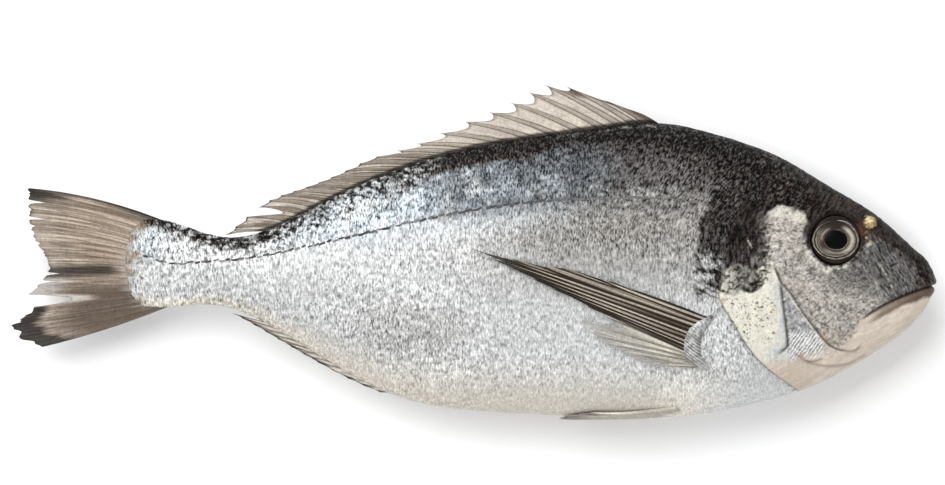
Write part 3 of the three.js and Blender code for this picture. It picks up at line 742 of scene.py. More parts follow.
def new_piece(name, points, faces, material, colour=None, masks=(), flat=None):
    """A closed mesh object from points in millimetres and arrays of faces, by corner count.

    colour is one linear colour a point, masks is a dict of numbers a point, and flat says which
    faces are shaded flat. The edges where those meet smooth faces are sharp.
    """
    mesh = bpy.data.meshes.new(name)
    points = np.asarray(points, np.float64).reshape(-1, 3)
    mesh.vertices.add(len(points))
    mesh.vertices.foreach_set("co", (points * 0.001).astype(np.float32).ravel())
    corners = np.concatenate([f.ravel() for f in faces]).astype(np.int32)
    counts = np.concatenate([np.full(len(f), f.shape[1]) for f in faces])
    mesh.loops.add(len(corners))
    mesh.loops.foreach_set("vertex_index", corners)
    mesh.polygons.add(len(counts))
    starts = np.concatenate([[0], np.cumsum(counts)[:-1]]).astype(np.int32)
    mesh.polygons.foreach_set("loop_start", starts)
    smooth = np.ones(len(counts), bool) if flat is None else ~flat
    mesh.polygons.foreach_set("use_smooth", smooth)
    mesh.update(calc_edges=True)
    if mesh.validate(verbose=False):
        raise RuntimeError(f"{name} had a face that isn't sound")
    if flat is not None:
        edges = np.empty(len(corners), np.int32)
        mesh.loops.foreach_get("edge_index", edges)
        below = np.repeat(flat, counts)
        beside = np.zeros((2, len(mesh.edges)), bool)
        beside[0, edges[below]] = True
        beside[1, edges[~below]] = True
        rim = mesh.attributes.new("sharp_edge", "BOOLEAN", "EDGE")
        rim.data.foreach_set("value", beside.all(0))
    if colour is not None:
        rgba = np.ones((len(points), 4), np.float32)
        rgba[:, :3] = np.clip(colour.reshape(-1, 3), 0, 1)
        mesh.attributes.new("paint", "FLOAT_COLOR", "POINT").data.foreach_set("color", rgba.ravel())
    for key, values in dict(masks).items():
        store = mesh.attributes.new(key, "FLOAT", "POINT")
        store.data.foreach_set("value", np.asarray(values, np.float32).ravel())
    piece = bpy.data.objects.new(name, mesh)
    bpy.context.scene.collection.objects.link(piece)
    mesh.materials.append(material)
    return piece


def tube_faces(stations, ring):
    """Faces of a closed tube: quads between its rings, and a fan to a point at either end."""
    i, k = np.meshgrid(np.arange(stations - 1), np.arange(ring), indexing="ij")
    j = (k + 1) % ring
    quads = np.stack([i * ring + k, (i + 1) * ring + k, (i + 1) * ring + j, i * ring + j], -1)
    k = np.arange(ring)
    j, last = (k + 1) % ring, (stations - 1) * ring
    start, end = stations * ring, stations * ring + 1
    fans = np.concatenate([
        np.stack([start + 0 * k, k, j], -1), np.stack([end + 0 * k, last + j, last + k], -1),
    ])
    return [quads.reshape(-1, 4), fans]


def slab_faces(rows, columns, turned):
    """Faces of a closed slab: a front grid, a rear grid behind it, and the strip round both.

    turned reverses them all.
    """
    at = np.arange(rows * columns).reshape(rows, columns)
    front = np.stack([at[:-1, :-1], at[1:, :-1], at[1:, 1:], at[:-1, 1:]], -1).reshape(-1, 4)
    rim = np.concatenate([at[:-1, 0], at[-1, :-1], at[:0:-1, -1], at[0, :0:-1]])
    ahead = np.roll(rim, -1)
    strip = np.stack([ahead, rim, rim + at.size, ahead + at.size], -1)
    faces = np.concatenate([front, front[:, ::-1] + at.size, strip])
    return [faces[:, ::-1] if turned else faces]


def tube_piece(name, points, caps, material, colour, masks=(), turned=False):
    """A closed piece of rings of points and one cap point at either end.

    A cap takes its colour from the ring beside it. turned reverses the faces.
    """
    faces = tube_faces(*points.shape[:2])
    if turned:
        faces = [face[:, ::-1] for face in faces]
    colour = np.concatenate([colour.reshape(-1, 3), colour[[0, -1], 0]])
    points = np.concatenate([points.reshape(-1, 3), caps])
    return new_piece(name, points, faces, material, colour, masks)


def finish_piece(piece, slot, *nodes):
    """Puts a piece on the fish's one body and hides the imported solids that it stands for. slot is
    not used.
    """
    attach(piece, "root")
    if nodes:
        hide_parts(*nodes)


# ------------------------------------------------------------------ materials


def node(tree, kind, place, **values):
    """A new node: settings by name, and inputs by the name or number after in_."""
    made = tree.nodes.new(kind)
    made.location = place
    for key, value in values.items():
        if key.startswith("in_"):
            socket = key[3:].replace("_", " ")
            made.inputs[int(socket) if socket.isdigit() else socket].default_value = value
        else:
            setattr(made, key, value)
    return made


def wire(tree, *links):
    """Links, each given as a node, its output, the next node and its input."""
    for source, output, target, entry in links:
        tree.links.new(source.outputs[output], target.inputs[entry])


def mottle_group():
    """Node group: colour broken up by two sizes of noise, drawn out upright or leaning."""
    name = "Skin mottle"
    if name in bpy.data.node_groups:
        return bpy.data.node_groups[name]
    tree = bpy.data.node_groups.new(name, "ShaderNodeTree")
    face = tree.interface
    face.new_socket(name="Color", in_out="INPUT", socket_type="NodeSocketColor")
    for label, value in (
        ("Grain size", 900.0), ("Contrast", 0.25), ("Stretch", 0.4), ("Sparkle", 0.0), ("Slant", 0.0),
    ):
        entry = face.new_socket(name=label, in_out="INPUT", socket_type="NodeSocketFloat")
        entry.default_value = value
    face.new_socket(name="Color", in_out="OUTPUT", socket_type="NodeSocketColor")
    face.new_socket(name="Height", in_out="OUTPUT", socket_type="NodeSocketFloat")
    face.new_socket(name="Gloss", in_out="OUTPUT", socket_type="NodeSocketFloat")
    source = node(tree, "NodeGroupInput", (-1100, 0))
    sink = node(tree, "NodeGroupOutput", (1100, 0))
    place = node(tree, "ShaderNodeTexCoord", (-1100, -250))
    squeeze = node(tree, "ShaderNodeCombineXYZ", (-900, -120), in_X=1.0)
    fine = node(tree, "ShaderNodeMix", (-300, 0))
    for turn, height, entry in ((0.0, 0, "A"), (np.radians(GRAIN_LEAN), -260, "B")):
        turned = node(
            tree, "ShaderNodeVectorRotate", (-900, height - 200), rotation_type="Z_AXIS", in_Angle=turn
        )
        stretch = node(tree, "ShaderNodeVectorMath", (-700, height - 200), operation="MULTIPLY")
        noise = node(tree, "ShaderNodeTexNoise", (-500, height), in_Detail=4.0, in_Roughness=0.65)
        wire(
            tree, (place, "Object", turned, "Vector"), (turned, 0, stretch, 0),
            (squeeze, 0, stretch, 1), (stretch, 0, noise, "Vector"),
            (source, "Grain size", noise, "Scale"), (noise, "Fac", fine, entry),
        )
    half = node(tree, "ShaderNodeMath", (-700, -620), operation="MULTIPLY", in_1=0.3)
    coarse = node(tree, "ShaderNodeTexNoise", (-500, -520), in_Detail=2.0)
    scaled = node(tree, "ShaderNodeMath", (-300, -420), operation="MULTIPLY", in_1=0.25)
    both = node(tree, "ShaderNodeMath", (-100, -100), operation="MULTIPLY_ADD", in_1=0.75)
    spread = node(
        tree, "ShaderNodeMapRange", (80, -100), clamp=False, in_From_Min=0.38, in_From_Max=0.62,
        in_To_Min=-1.0, in_To_Max=1.0,
    )
    strength = node(tree, "ShaderNodeMath", (280, 0), operation="MULTIPLY_ADD", in_2=1.0)
    floor = node(tree, "ShaderNodeMath", (280, -220), operation="MAXIMUM", in_1=-0.35)
    glint = node(tree, "ShaderNodeMath", (480, -220), operation="MULTIPLY")
    tinted = node(tree, "ShaderNodeVectorMath", (480, 60), operation="SCALE")
    sparkled = node(tree, "ShaderNodeVectorMath", (680, 0), operation="ADD")
    bounded = node(tree, "ShaderNodeVectorMath", (880, 0), operation="MAXIMUM", in_1=(0.002,) * 3)
    wire(
        tree, (source, "Stretch", squeeze, "Y"), (source, "Stretch", squeeze, "Z"),
        (source, "Slant", fine, "Factor"), (place, "Object", coarse, "Vector"),
        (source, "Grain size", half, 0), (half, 0, coarse, "Scale"), (coarse, "Fac", scaled, 0),
        (fine, 0, both, 0), (scaled, 0, both, 2), (both, 0, spread, "Value"),
        (spread, 0, strength, 0), (source, "Contrast", strength, 1), (spread, 0, floor, 0),
        (floor, 0, glint, 0), (source, "Sparkle", glint, 1), (source, "Color", tinted, 0),
        (strength, 0, tinted, "Scale"), (tinted, 0, sparkled, 0), (glint, 0, sparkled, 1),
        (sparkled, 0, bounded, 0), (bounded, 0, sink, "Color"), (fine, 0, sink, "Height"),
        (spread, 0, sink, "Gloss"),
    )
    return tree


def painted(name, grain_size, contrast, stretch, bump, rough, coat, metal=0.0, sheer=False,
            sparkle=0.0):
    """A wet skin material: the piece's own paint, mottled, with bump and uneven gloss.

    rough is the roughness where the noise is low and where it is high. metal is the most that
    the silver mask gives. sheer lets the cover mask see through. sparkle is how bright the
    specks in dark skin are, and goes with the texture and slant masks.
    """
    material = bpy.data.materials.new(name)
    material.use_nodes = True
    tree = material.node_tree
    skin = tree.nodes["Principled BSDF"]

    def mask(key, place):
        return node(tree, "ShaderNodeAttribute", place, attribute_name=key)

    mottle = node(
        tree, "ShaderNodeGroup", (-560, 200), node_tree=mottle_group(), in_Grain_size=grain_size,
        in_Contrast=contrast, in_Stretch=stretch,
    )
    gloss = node(
        tree, "ShaderNodeMapRange", (-300, 0), in_From_Min=-1.0, in_From_Max=1.0,
        in_To_Min=rough[0], in_To_Max=rough[1],
    )
    relief = node(tree, "ShaderNodeBump", (-300, -250), in_Strength=1.0, in_Distance=bump)
    wire(
        tree, (mask("paint", (-800, 200)), "Color", mottle, "Color"),
        (mottle, "Color", skin, "Base Color"), (mottle, "Gloss", gloss, "Value"),
        (gloss, 0, skin, "Roughness"), (mottle, "Height", relief, "Height"),
        (relief, 0, skin, "Normal"),
    )
    if sparkle:
        texture = mask("texture", (-1200, 0))
        for place, label, most in ((0, "Contrast", contrast), (-160, "Sparkle", sparkle)):
            times = node(tree, "ShaderNodeMath", (-980, place), operation="MULTIPLY", in_1=most)
            wire(tree, (texture, "Fac", times, 0), (times, 0, mottle, label))
        wire(tree, (mask("slant", (-1200, -200)), "Fac", mottle, "Slant"))
    if metal:
        share = node(tree, "ShaderNodeMath", (-300, 120), operation="MULTIPLY", in_1=metal)
        wire(
            tree, (mask("silver", (-560, -100)), "Fac", share, 0), (share, 0, skin, "Metallic")
        )
    if sheer:
        wire(tree, (mask("cover", (-300, -450)), "Fac", skin, "Alpha"))
    skin.inputs["Coat Weight"].default_value = coat
    skin.inputs["Coat Roughness"].default_value = 0.16
    skin.inputs["IOR"].default_value = 1.11
    return material


# ------------------------------------------------------------------ body, head, scales


def skin_masks(x, y, silver):
    """The masks of a tube of skin, with one more value for the point at either end."""
    parts = {"silver": silver, "texture": skin_texture(x, y), "slant": skin_slant(x, y)}
    return {key: np.concatenate([part.ravel(), [0, 0]]) for key, part in parts.items()}


def swell(x, y):
    """The skin's soft waves, which the scales follow too."""
    return 0.16 * clouds(x, y, 9, 71) * soft(ROOT_X, -104, x)


class BREAM_OT_body(Operator):
    """The body under the scales: rings round the fish from the tail's root to under the head"""

    bl_idname = "bream.body"
    bl_label = "Body"

    def execute(self, context):
        tone = tones()
        u = np.linspace(0, 1, 300)
        angle = evened(-np.pi / 2 + 2 * np.pi * np.arange(168) / 168)
        x = ROOT_X + 0.25 + (110 - ROOT_X) * (0.9 * u + 0.1 * u**2)[:, None] + 0 * angle
        points = on_body(x, angle + 0 * x)
        y = points[..., 1]
        under = -0.12 - 2.6 * soft(0.6, 4.5, x - gill_x(y))
        points = points + body_normals(x, angle + 0 * x) * (swell(x, y) + under)[..., None]
        points[..., 2] = np.maximum(points[..., 2], 0)
        colour, silver = skin_colour(x, y, tone)
        caps = [[ROOT_X, -3.5, float(mid_z(ROOT_X))], [112, -8, MID_Z]]
        skin = painted("Wet skin", 2100, 0.3, 0.3, 0.00008, (0.58, 0.4), 0.02, 0.2, sparkle=0.05)
        piece = tube_piece("skin_body", points, caps, skin, colour, skin_masks(x, y, silver))
        finish_piece(piece, "skin", "fish")
        return {"FINISHED"}


def cover_rise(y, mm):
    """How far the gill cover's edge stands up at y: least at the nape and the throat."""
    ends = np.clip(np.minimum((17.5 - y) / 9, (y + 45.5) / 9), 0, 1)
    return mm["gill_rise"] * (1.15 * ends - 0.15)


def head_relief(x, y, mm):
    """Height of the head's skin over the plain body: plates, folds, mouth, orbit and lumps."""
    from_gill = np.maximum(x - gill_x(y), 0) * 0.85
    out = np.maximum(cover_rise(y, mm) * (1 - from_gill / 15), -0.13)
    out = np.where(from_gill > 3, np.maximum(out, 0), out)
    away, share, side = nearest(cheek_line, x, y)
    ends = soft(0, 0.18, share) * soft(1, 0.8, share)
    ahead = side * away
    out = out + mm["cheek_rise"] * ends * soft(-0.35, 0.35, ahead) * np.maximum(0, 1 - away / 15)
    out = out - 0.55 * ends * bell((away - 1.2) / 1.5) * (ahead < 0.2)
    out = out - 0.55 * stroke(seam_line, x, y, 0.5) + 0.2 * stroke(seam_line + [1.1, 0.2], x, y, 0.6)
    ribs_here = soft(0.2, 0.8, -ahead) * soft(-23.5, -26, y) * soft(-37, -35.2, y)
    ribs_here = ribs_here * soft(101.2, 102.6, x + 0.1 * (y + 28)) * soft(113.5, 112, x)
    out = out + 0.09 * ribs_here * rib_waves(x, y, clouds(x, y, 0.9, 32))
    lip, along, above = nearest(mouth_line, x, y)
    held = soft(1.0, 0.75, along)
    out = out - mm["mouth_depth"] * bell(lip / 0.42) * held
    out = out + 0.5 * held * bell((lip - 1.5) / 1.1) * np.where(above < 0, 1, 0.8)
    for fold, depth in ((CHEEK_FOLD, 0.4), (JAW_FOLD, 0.35), (MEMBRANE_FOLD, 0.4)):
        line = traced(fold)
        out = out - depth * stroke(line, x, y, 0.45) + 0.5 * depth * stroke(line + [0, 0.9], x, y, 0.6)
    ring = np.hypot(x - EYE[0], y - EYE[1])
    out = out + 0.35 * bell((ring - 9.3) / 0.8)
    out = mix(out, -4.4, soft(8.3, 7.6, ring))
    out = out - 0.5 * stroke(NOSTRIL, x, y, 0.3)
    lump = np.hypot(x - LUMP[0], y - LUMP[1])
    out = out + 0.7 * soft(2.9, 0.8, lump) * (1 + 0.35 * clouds(x, y, 1.2, 81))
    net = soft(3.4, 2, np.hypot(x - 129.6, y - 3.6))
    out = out + 0.35 * net * soft(0.1, 0.5, clouds(x, y, 1.1, 52))
    smooth = soft(9.0, 10.5, ring) * (1 - ribs_here) * soft(0.5, 1.4, lip)
    out = out + smooth * (0.09 * clouds(x, y, 1.5, 82) + 0.05 * clouds(x, y, 0.6, 83))
    return out


class BREAM_OT_head(Operator):
    """The head: rings from the gill cover's free edge to the nose, with the rim turned under"""

    bl_idname = "bream.head"
    bl_label = "Head"

    def execute(self, context):
        tone, mm = tones(), sizes()
        right = np.linspace(-np.pi / 2, np.pi / 2, 301)[:-1]
        left = np.linspace(np.pi / 2, 1.5 * np.pi, 97)[:-1]
        angle = evened(np.concatenate([right, left]))
        rear = np.full(angle.shape, 90.0)
        for _ in range(60):
            middle, half, _thick = section(rear)
            rear = mix(rear, gill_x(middle + half * np.sin(angle)), 0.4)
        u = np.linspace(0, 1, 232)
        reach = 1 - (1 - u) ** 1.35
        x = rear[None] + (NOSE_X - 0.03 - rear[None]) * reach[:, None]
        tucked = np.array([6.0, 2.0, 0.7, 0.15, 0.0])[:, None]
        x = np.concatenate([rear[None] + tucked, x[1:]])
        points = on_body(x, angle + 0 * x)
        y = points[..., 1]
        rise = head_relief(x, y, mm)
        rim = cover_rise(y[4], mm)
        rise[0], rise[1], rise[2] = -3.4, -1.7, np.minimum(rim - 0.8, -0.5)
        rise[3], rise[4] = rim - 0.4, rim - 0.12
        points = points + body_normals(x, angle + 0 * x) * rise[..., None]
        points[..., 2] = np.maximum(points[..., 2], 0)
        colour, silver = skin_colour(np.maximum(x, rear[None] + 0.5), y, tone)
        caps = [[106, -6, MID_Z], [NOSE_X, float(section(NOSE_X)[0]), MID_Z]]
        skin = painted(
            "Wet head skin", 2300, 0.26, 0.7, 0.00012, (0.52, 0.34), 0.03, 0.1, sparkle=0.015
        )
        piece = tube_piece("skin_head", points, caps, skin, colour, skin_masks(x, y, silver))
        finish_piece(piece, "skin", "fish")
        return {"FINISHED"}


PLATE_ROWS = np.array([0.0, 0.55, 0.86, 1.0])


def plates(table, x, arc, length, width, lift, sink, turn, lean, raised=0.0, columns=5):
    """Small closed plates that follow the body like roof tiles, free edge to the tail.

    Each is a grid of points (along, across) laid on the body by its side distance, raised from
    -sink at the front to lift at the free edge, drooping to its sides, over one point below.
    Gives the points, the faces, which faces are the hidden underside, and the grid's shares along.
    """
    rows = len(PLATE_ROWS)
    along = PLATE_ROWS[:, None] + np.zeros(columns)
    across = np.linspace(-1, 1, columns)[None] + np.zeros((rows, 1))
    rounded = 1 - 0.2 * along * np.abs(across) ** 3
    ahead = (0.5 - along * rounded).ravel()[None] * length[:, None]
    aside = (across * (1 - 0.12 * along**3 * np.abs(across))).ravel()[None] * width[:, None] / 2
    c, s = np.cos(turn)[:, None], np.sin(turn)[:, None]
    px, pa = x[:, None] + ahead * c - aside * s, arc[:, None] + ahead * s + aside * c
    crown = 1 - 0.25 * across.ravel() ** 2
    high = mix(-sink, lift, along.ravel())[None] * np.where(along.ravel() > 0.3, crown, 1)
    high = high + lean[:, None] * across.ravel()[None] * along.ravel()[None]
    px, pa = np.concatenate([px, x[:, None]], 1), np.concatenate([pa, arc[:, None]], 1)
    high = high + np.reshape(raised, (-1, 1)) * along.ravel()[None]
    high = np.concatenate([high + 0 * ahead, np.full((len(x), 1), -sink - 0.25)], 1)
    px = np.clip(px, ROOT_X + 0.3, LAST_SCALE_X)
    angle = table.at(px, pa)
    skin = on_body(px, angle)
    high = high + swell(px, skin[..., 1])
    points = skin + body_normals(px, angle) * high[..., None]
    points[..., 2] = np.maximum(points[..., 2], 0.0)
    at = np.arange(rows * columns).reshape(rows, columns)
    quads = np.stack([at[:-1, :-1], at[:-1, 1:], at[1:, 1:], at[1:, :-1]], -1).reshape(-1, 4)
    rim = np.concatenate([at[0, :-1], at[:-1, -1], at[-1, :0:-1], at[:0:-1, 0]])
    fan = np.stack([np.roll(rim, -1), rim, np.full(len(rim), rows * columns)], -1)
    base = (np.arange(len(x)) * (rows * columns + 1))[:, None, None]
    faces = [(quads[None] + base).reshape(-1, 4), (fan[None] + base).reshape(-1, 3)]
    return points, faces, np.repeat([False, True], [len(face) for face in faces]), along


def scale_places(table, mm, rng):
    """Middles of all the scales of one side: columns that close up towards the tail, and rows
    beside the side line that close up towards the belly, every other column half a row off.
    """
    places = [SCALES_FROM_X]
    shrink = spline([(-113, 0.62), (-90, 0.7), (-60, 0.84), (-30, 1), (100, 1)])
    while places[-1] > ROOT_X + 2.5:
        places.append(places[-1] - float(mm["scale_length"] * shrink(places[-1])))
    ahead = [SCALES_FROM_X + mm["scale_length"] * k for k in range(1, NAPE_COLUMNS + 1)]
    columns = np.array(places[:-1] + ahead)
    parity = np.array(list(range(len(places) - 1)) + list(range(-1, -len(ahead) - 1, -1))) % 2
    rows = np.arange(-40, 18)
    x, row = np.meshgrid(columns, rows, indexing="ij")
    row = row + 0.5 * parity[:, None]
    grow = spline([(-113, 0.5), (-92, 0.55), (-60, 0.76), (-25, 0.96), (10, 1), (110, 0.9)])
    high = mm["scale_height"] * grow(x)
    closer = np.where(row < 0, 0.005, 0)
    arc = high * (row + closer * row**2)
    high = high * (1 - 2 * closer * np.abs(row))
    low, top = table.reach(x)
    y = on_body(x, table.at(x, arc))[..., 1]
    nape = y > 15.5
    keep = (arc > low + 0.3) & (arc < top - 0.2)
    keep &= x > root_edge(y) + rng.normal(1.2, 1.7, x.shape)
    keep &= (x < gill_x(y) - 0.4) | (nape & (x < 112 - 0.35 * (y - 15)))
    x, arc, high = x[keep], arc[keep], high[keep]
    n = len(x)
    length = mm["scale_length"] * shrink(x) * 1.95 * rng.uniform(0.9, 1.1, n)
    width = high * 1.16 * rng.uniform(0.92, 1.08, n)
    return x + rng.normal(0, 0.28, n), arc + rng.normal(0, 0.22, n), length, width


def lay_scales(name, table, tone, mm, seed, material):
    """The scales of one side, each a little off in place, tilt and brightness."""
    rng = np.random.default_rng(seed)
    x, arc, length, width = scale_places(table, mm, rng)
    n = len(x)
    turn, lean = rng.normal(0, 0.1, n), rng.normal(0, 0.004, n)
    points, faces, under, along = plates(
        table, x, arc, length, width, mm["scale_lift"], 0.045, turn, lean, rng.normal(0, 0.005, n)
    )
    px, py = points[..., 0], points[..., 1]
    colour, silver = skin_colour(px, py, tone)
    own, edge = rng.normal(0, 1, n)[:, None], rng.uniform(-0.5, 0.5, n)[:, None]
    shown = np.append(along.ravel(), 0.5)[None]
    apart = np.tile(np.abs(np.linspace(-1, 1, along.shape[1])), along.shape[0])
    apart = np.append(apart, 0.5)[None]
    lively = skin_texture(px, py)
    broken = soft(-0.1, 0.6, clouds(px, py, 0.9, 17) + edge) * soft(1.1, 0.4, apart)
    bright = 1 + lively * (0.05 * own - 0.26 * broken * soft(0.8, 1.0, shown))
    colour = colour * np.clip(bright, 0.4, 1.5)[..., None]
    mixed, uneven = piebald(px, py), 0.2 * own + clouds(px, py, 0.8, 16)
    colour = over(colour, tone["ridge"], mixed * soft(0.0, -0.4, uneven))
    colour = over(colour, tone["silver"], 0.75 * mixed * soft(0.05, 0.5, uneven))
    masks = {"silver": silver, "texture": lively, "slant": skin_slant(px, py)}
    piece = new_piece(name, points, faces, material, colour, masks, under)
    finish_piece(piece, "skin", "fish")


class BREAM_OT_scales(Operator):
    """The scales of both flanks, and the row of pores along each side line"""

    bl_idname = "bream.scales"
    bl_label = "Scales"

    def execute(self, context):
        tone, mm, seed = tones(), sizes(), context.scene.bream_sizes.seed
        scale = painted("Wet scale", 2000, 0.78, 0.34, 0.00007, (0.52, 0.32), 0.02, 0.2, sparkle=0.055)
        pore = painted("Side line pore", 1500, 0.25, 0.6, 0.00005, (0.5, 0.3), 0.1)
        for name, side in SIDES.items():
            table = ArcTable(side)
            lay_scales(f"scales_{name}", table, tone, mm, seed + side, scale)
            self.side_line(name, table, tone, mm, np.random.default_rng(seed + 10 + side), pore)
        return {"FINISHED"}

    def side_line(self, name, table, tone, mm, rng, material):
        """Short dark plates end to end along the side line, each a little above or below it."""
        x = np.arange(-106, 78, 2.05)
        n = len(x)
        x = x + rng.normal(0, 0.25, n)
        aside = np.where(np.arange(n) % 2, 0.15, -0.15) + rng.normal(0, 0.08, n)
        wide = mm["line_width"] * rng.uniform(0.6, 1.2, n) * mix(0.75, 1.0, soft(-100, -30, x))
        points, faces, under, _ = plates(
            table, x, aside, rng.uniform(1.5, 2.5, n), wide, 0.32, -0.16, rng.normal(0.1, 0.1, n),
            np.zeros(n),
        )
        px, py = points[..., 0], points[..., 1]
        faint = np.maximum(0.92 * soft(10, 45, px), 0.45 * rng.uniform(0, 1, n)[:, None] ** 2)
        skin, _ = skin_colour(px, py, tone)
        colour = over(plain(tone["slate"] * 0.6, px), skin, faint)
        piece = new_piece(f"side_line_{name}", points, faces, material, colour, flat=under)
        finish_piece(piece, "skin", "fish")


# ------------------------------------------------------------------ fins


def on_rays(rays, i, t):
    """Points on rays i at t: a bow from root to tip, pulled towards a bend."""
    root, bend, tip = (ray[i] for ray in rays)
    t = t[..., None]
    return root * (1 - t) ** 2 + 2 * bend * t * (1 - t) + tip * t**2


def fin(name, rays, paint, material, mm, rows=48, steps=10, reach=None, split=(0.5, 0.8),
        bar=(0.55, 0.3), tatter=0.03, seed=1, up=(0, 0, 1), thick=1.0, slit=None):
    """A fin as one closed sheet. Between neighbouring rays the middle surface is their straight
    mix. Each ray is a ridge that swells both faces, and forks at the two shares in split. The
    free edge falls to reach between rays by a sine raised to slit, and is worn by noise.
    """
    gaps = range(len(rays[0]) - 1)
    s = np.linspace(0, len(gaps), len(gaps) * steps + 1)
    i = np.minimum(s.astype(int), len(gaps) - 1)
    f = s - i
    low = np.array([reach(k) if reach else 0.96 for k in gaps])[i]
    power = np.array([slit(k) if slit else 0.6 for k in gaps])[i]
    notch = np.sin(np.pi * f)
    end = mix(1, low, notch**power)
    end = end * (1 - tatter * np.abs(clouds(s * 2.3, s * 0, 1.0, seed, 2)) * (0.3 + notch))
    t = np.linspace(0, 1, rows + 1)[None] * end[:, None]
    share = t / end[:, None]
    f = f[:, None] + 0 * t
    near, far = on_rays(rays, i[:, None], t), on_rays(rays, i[:, None] + 1, t)
    middle = mix(near, far, f[..., None])
    run = unit(np.gradient(middle, axis=1))
    aside = far - near
    gap = np.linalg.norm(aside - (aside * run).sum(-1, keepdims=True) * run, axis=-1)
    fork = 0.26 * soft(split[0] - 0.12, split[0] + 0.3, t)
    twig = 0.12 * soft(split[1] - 0.1, split[1] + 0.2, t)
    width = mix(*bar, t)
    ridge = np.zeros(t.shape)
    for ray, way in ((0, 1), (1, -1)):
        for a, b in ((1, 1), (1, -1), (-1, 1), (-1, -1)):
            centre = ray + way * (a * fork + b * twig)
            ridge = np.maximum(ridge, bell((f - centre) * gap / width))
    web = mm["web_thickness"] * mix(1.4, 0.7, t)
    stem = np.maximum(mix(mm["ray_thickness"], 0.3, t), web)
    half = thick * mix(web, stem, ridge) * mix(1, 0.45, soft(0.94, 1, share))
    normal = grid_normals(middle)
    turned = (normal @ np.array(up)).mean() < 0
    if turned:
        normal = -normal
    points = np.stack([middle + normal * half[..., None], middle - normal * half[..., None]])
    points[..., 2] = np.maximum(points[..., 2], FIN_FLOOR)
    colour, cover = paint(s[:, None] + 0 * t, t, share, ridge, middle[..., 0], middle[..., 1])
    piece = new_piece(
        name, points, slab_faces(*t.shape, turned), material,
        np.concatenate([colour.reshape(-1, 3)] * 2), {"cover": np.tile(cover.ravel(), 2)},
    )
    finish_piece(piece, "skin", "fish")


def median_rays(count, base, sweep, height, outline, side, bow):
    """Rays of a fin in the middle plane: root on the outline, tip back by sweep and out by height."""
    i = np.arange(count)
    root_x = spline(base)(i)
    tip_x = root_x - spline(sweep)(i)
    root = np.stack([root_x, outline(root_x) - 2.5 * side, mid_z(root_x)], -1)
    tip = np.stack([tip_x, outline(tip_x) + spline(height)(i) * side, mid_z(tip_x)], -1)
    bend = (root + tip) / 2 + [0, bow * side, 0]
    return root, bend, tip


def dorsal_rays():
    """The back fin: 11 spines and 13 soft rays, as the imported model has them."""
    return median_rays(
        24,
        [(0, 63.4), (3, 51.1), (7, 23.5), (11, -5.7), (15, -28.7), (19, -47.5), (23, -62.8)],
        [(0, 10.4), (1, 16.2), (2, 26), (3, 28.2), (5, 26.2), (9, 26.9), (13, 23.7),
         (17, 19.8), (23, 17.8)],
        [(0, 3.7), (1, 8.3), (2, 15.3), (3, 16.8), (5, 12.2), (7, 9.1), (9, 6.3), (11, 7),
         (13, 6.8), (16, 8), (20, 8.4), (22, 3.3), (23, 0.4)],
        back, 1, 1.6,
    )


def anal_rays():
    """The low strip of fin behind the belly."""
    return median_rays(
        12, [(0, -21), (6, -43), (11, -61)], [(0, 9), (3, 13.5), (11, 17.5)],
        [(0, 1.1), (3, 2.3), (6, 2.9), (9, 2.7), (11, 1.6)], belly, -1, 0.3,
    )


def tail_rays():
    """The tail fin: 14 rays above the deep tear and 5 in the lobe below, which curls up."""
    i = np.arange(19)
    root_x = spline([(0, -95), (3, -103), (9, -109), (15, -102.5), (18, -96)])(i)
    root_y = spline([(0, 8), (3, 3.5), (9, -5), (15, -15.2), (18, -16.6)])(i)
    upper_x = spline([(0, -144.5), (3, -144.2), (6, -142.5), (8, -139), (10, -137.7), (13, -144.5)])
    upper_y = spline([(0, 20.8), (3, 12.3), (6, 4.5), (8, -1.3), (10, -5.8), (13, -13.9)])
    lower_x = spline([(14, -142.5), (15, -147), (16, -150), (17, -146.8), (18, -139.6)])
    lower_y = spline([(14, -17.8), (15, -22), (16, -23.8), (17, -28.2), (18, -30.8)])
    tip_x = np.where(i < 14, upper_x(i), lower_x(i))
    tip_y = np.where(i < 14, upper_y(i), lower_y(i))
    curl = 3 * np.clip((i - 13) / 5, 0, 1)
    root = np.stack([root_x, root_y, mid_z(root_x)], -1)
    tip = np.stack([tip_x, tip_y, mid_z(tip_x) + curl], -1)
    bend = (root + tip) / 2
    bend[:, 1] += mix(4.4, -2.0, i / 18)
    bend[:, 2] = mid_z(bend[:, 0]) - 0.6 * curl
    return root, bend, tip


PECTORAL_ROOTS = [(76, -21), (71.5, -25.5), (70, -30.5), (71, -34.5), (74.5, -37.4)]
PECTORAL_TIPS = [
    (44.6, -9.4), (28.4, -4.5), (10.5, -1.3), (-0.8, 1.3), (5, -1.9), (11.5, -4.9),
    (18, -8.2), (24.5, -11.4), (31.5, -14.4), (36.5, -17.4), (31.6, -20.4), (35.8, -25),
    (38.8, -27.9), (43.9, -30.8), (50.4, -34.1), (57.6, -37),
]


def laid_on_flank(places, lift, side, turn):
    """Points (x, y) turned about the fin's root and set on the flank, lifted off it."""
    c, s = np.cos(np.radians(turn)), np.sin(np.radians(turn))
    away = np.asarray(places) - FIN_PIVOT
    x, y = away @ [c, -s] + FIN_PIVOT[0], away @ [s, c] + FIN_PIVOT[1]
    return np.stack([x, y, flank_z(x, y, side) + side * lift], -1)


def pectoral_rays(side, turn):
    """A side fin folded back along the flank."""
    t = np.linspace(0, 1, 16)
    roots, tips = path(PECTORAL_ROOTS)(t), path(PECTORAL_TIPS)(t)
    return (
        laid_on_flank(roots, -0.1, side, turn),
        laid_on_flank((roots + tips) / 2, 2.6, side, turn),
        laid_on_flank(tips, 1.5, side, turn),
    )


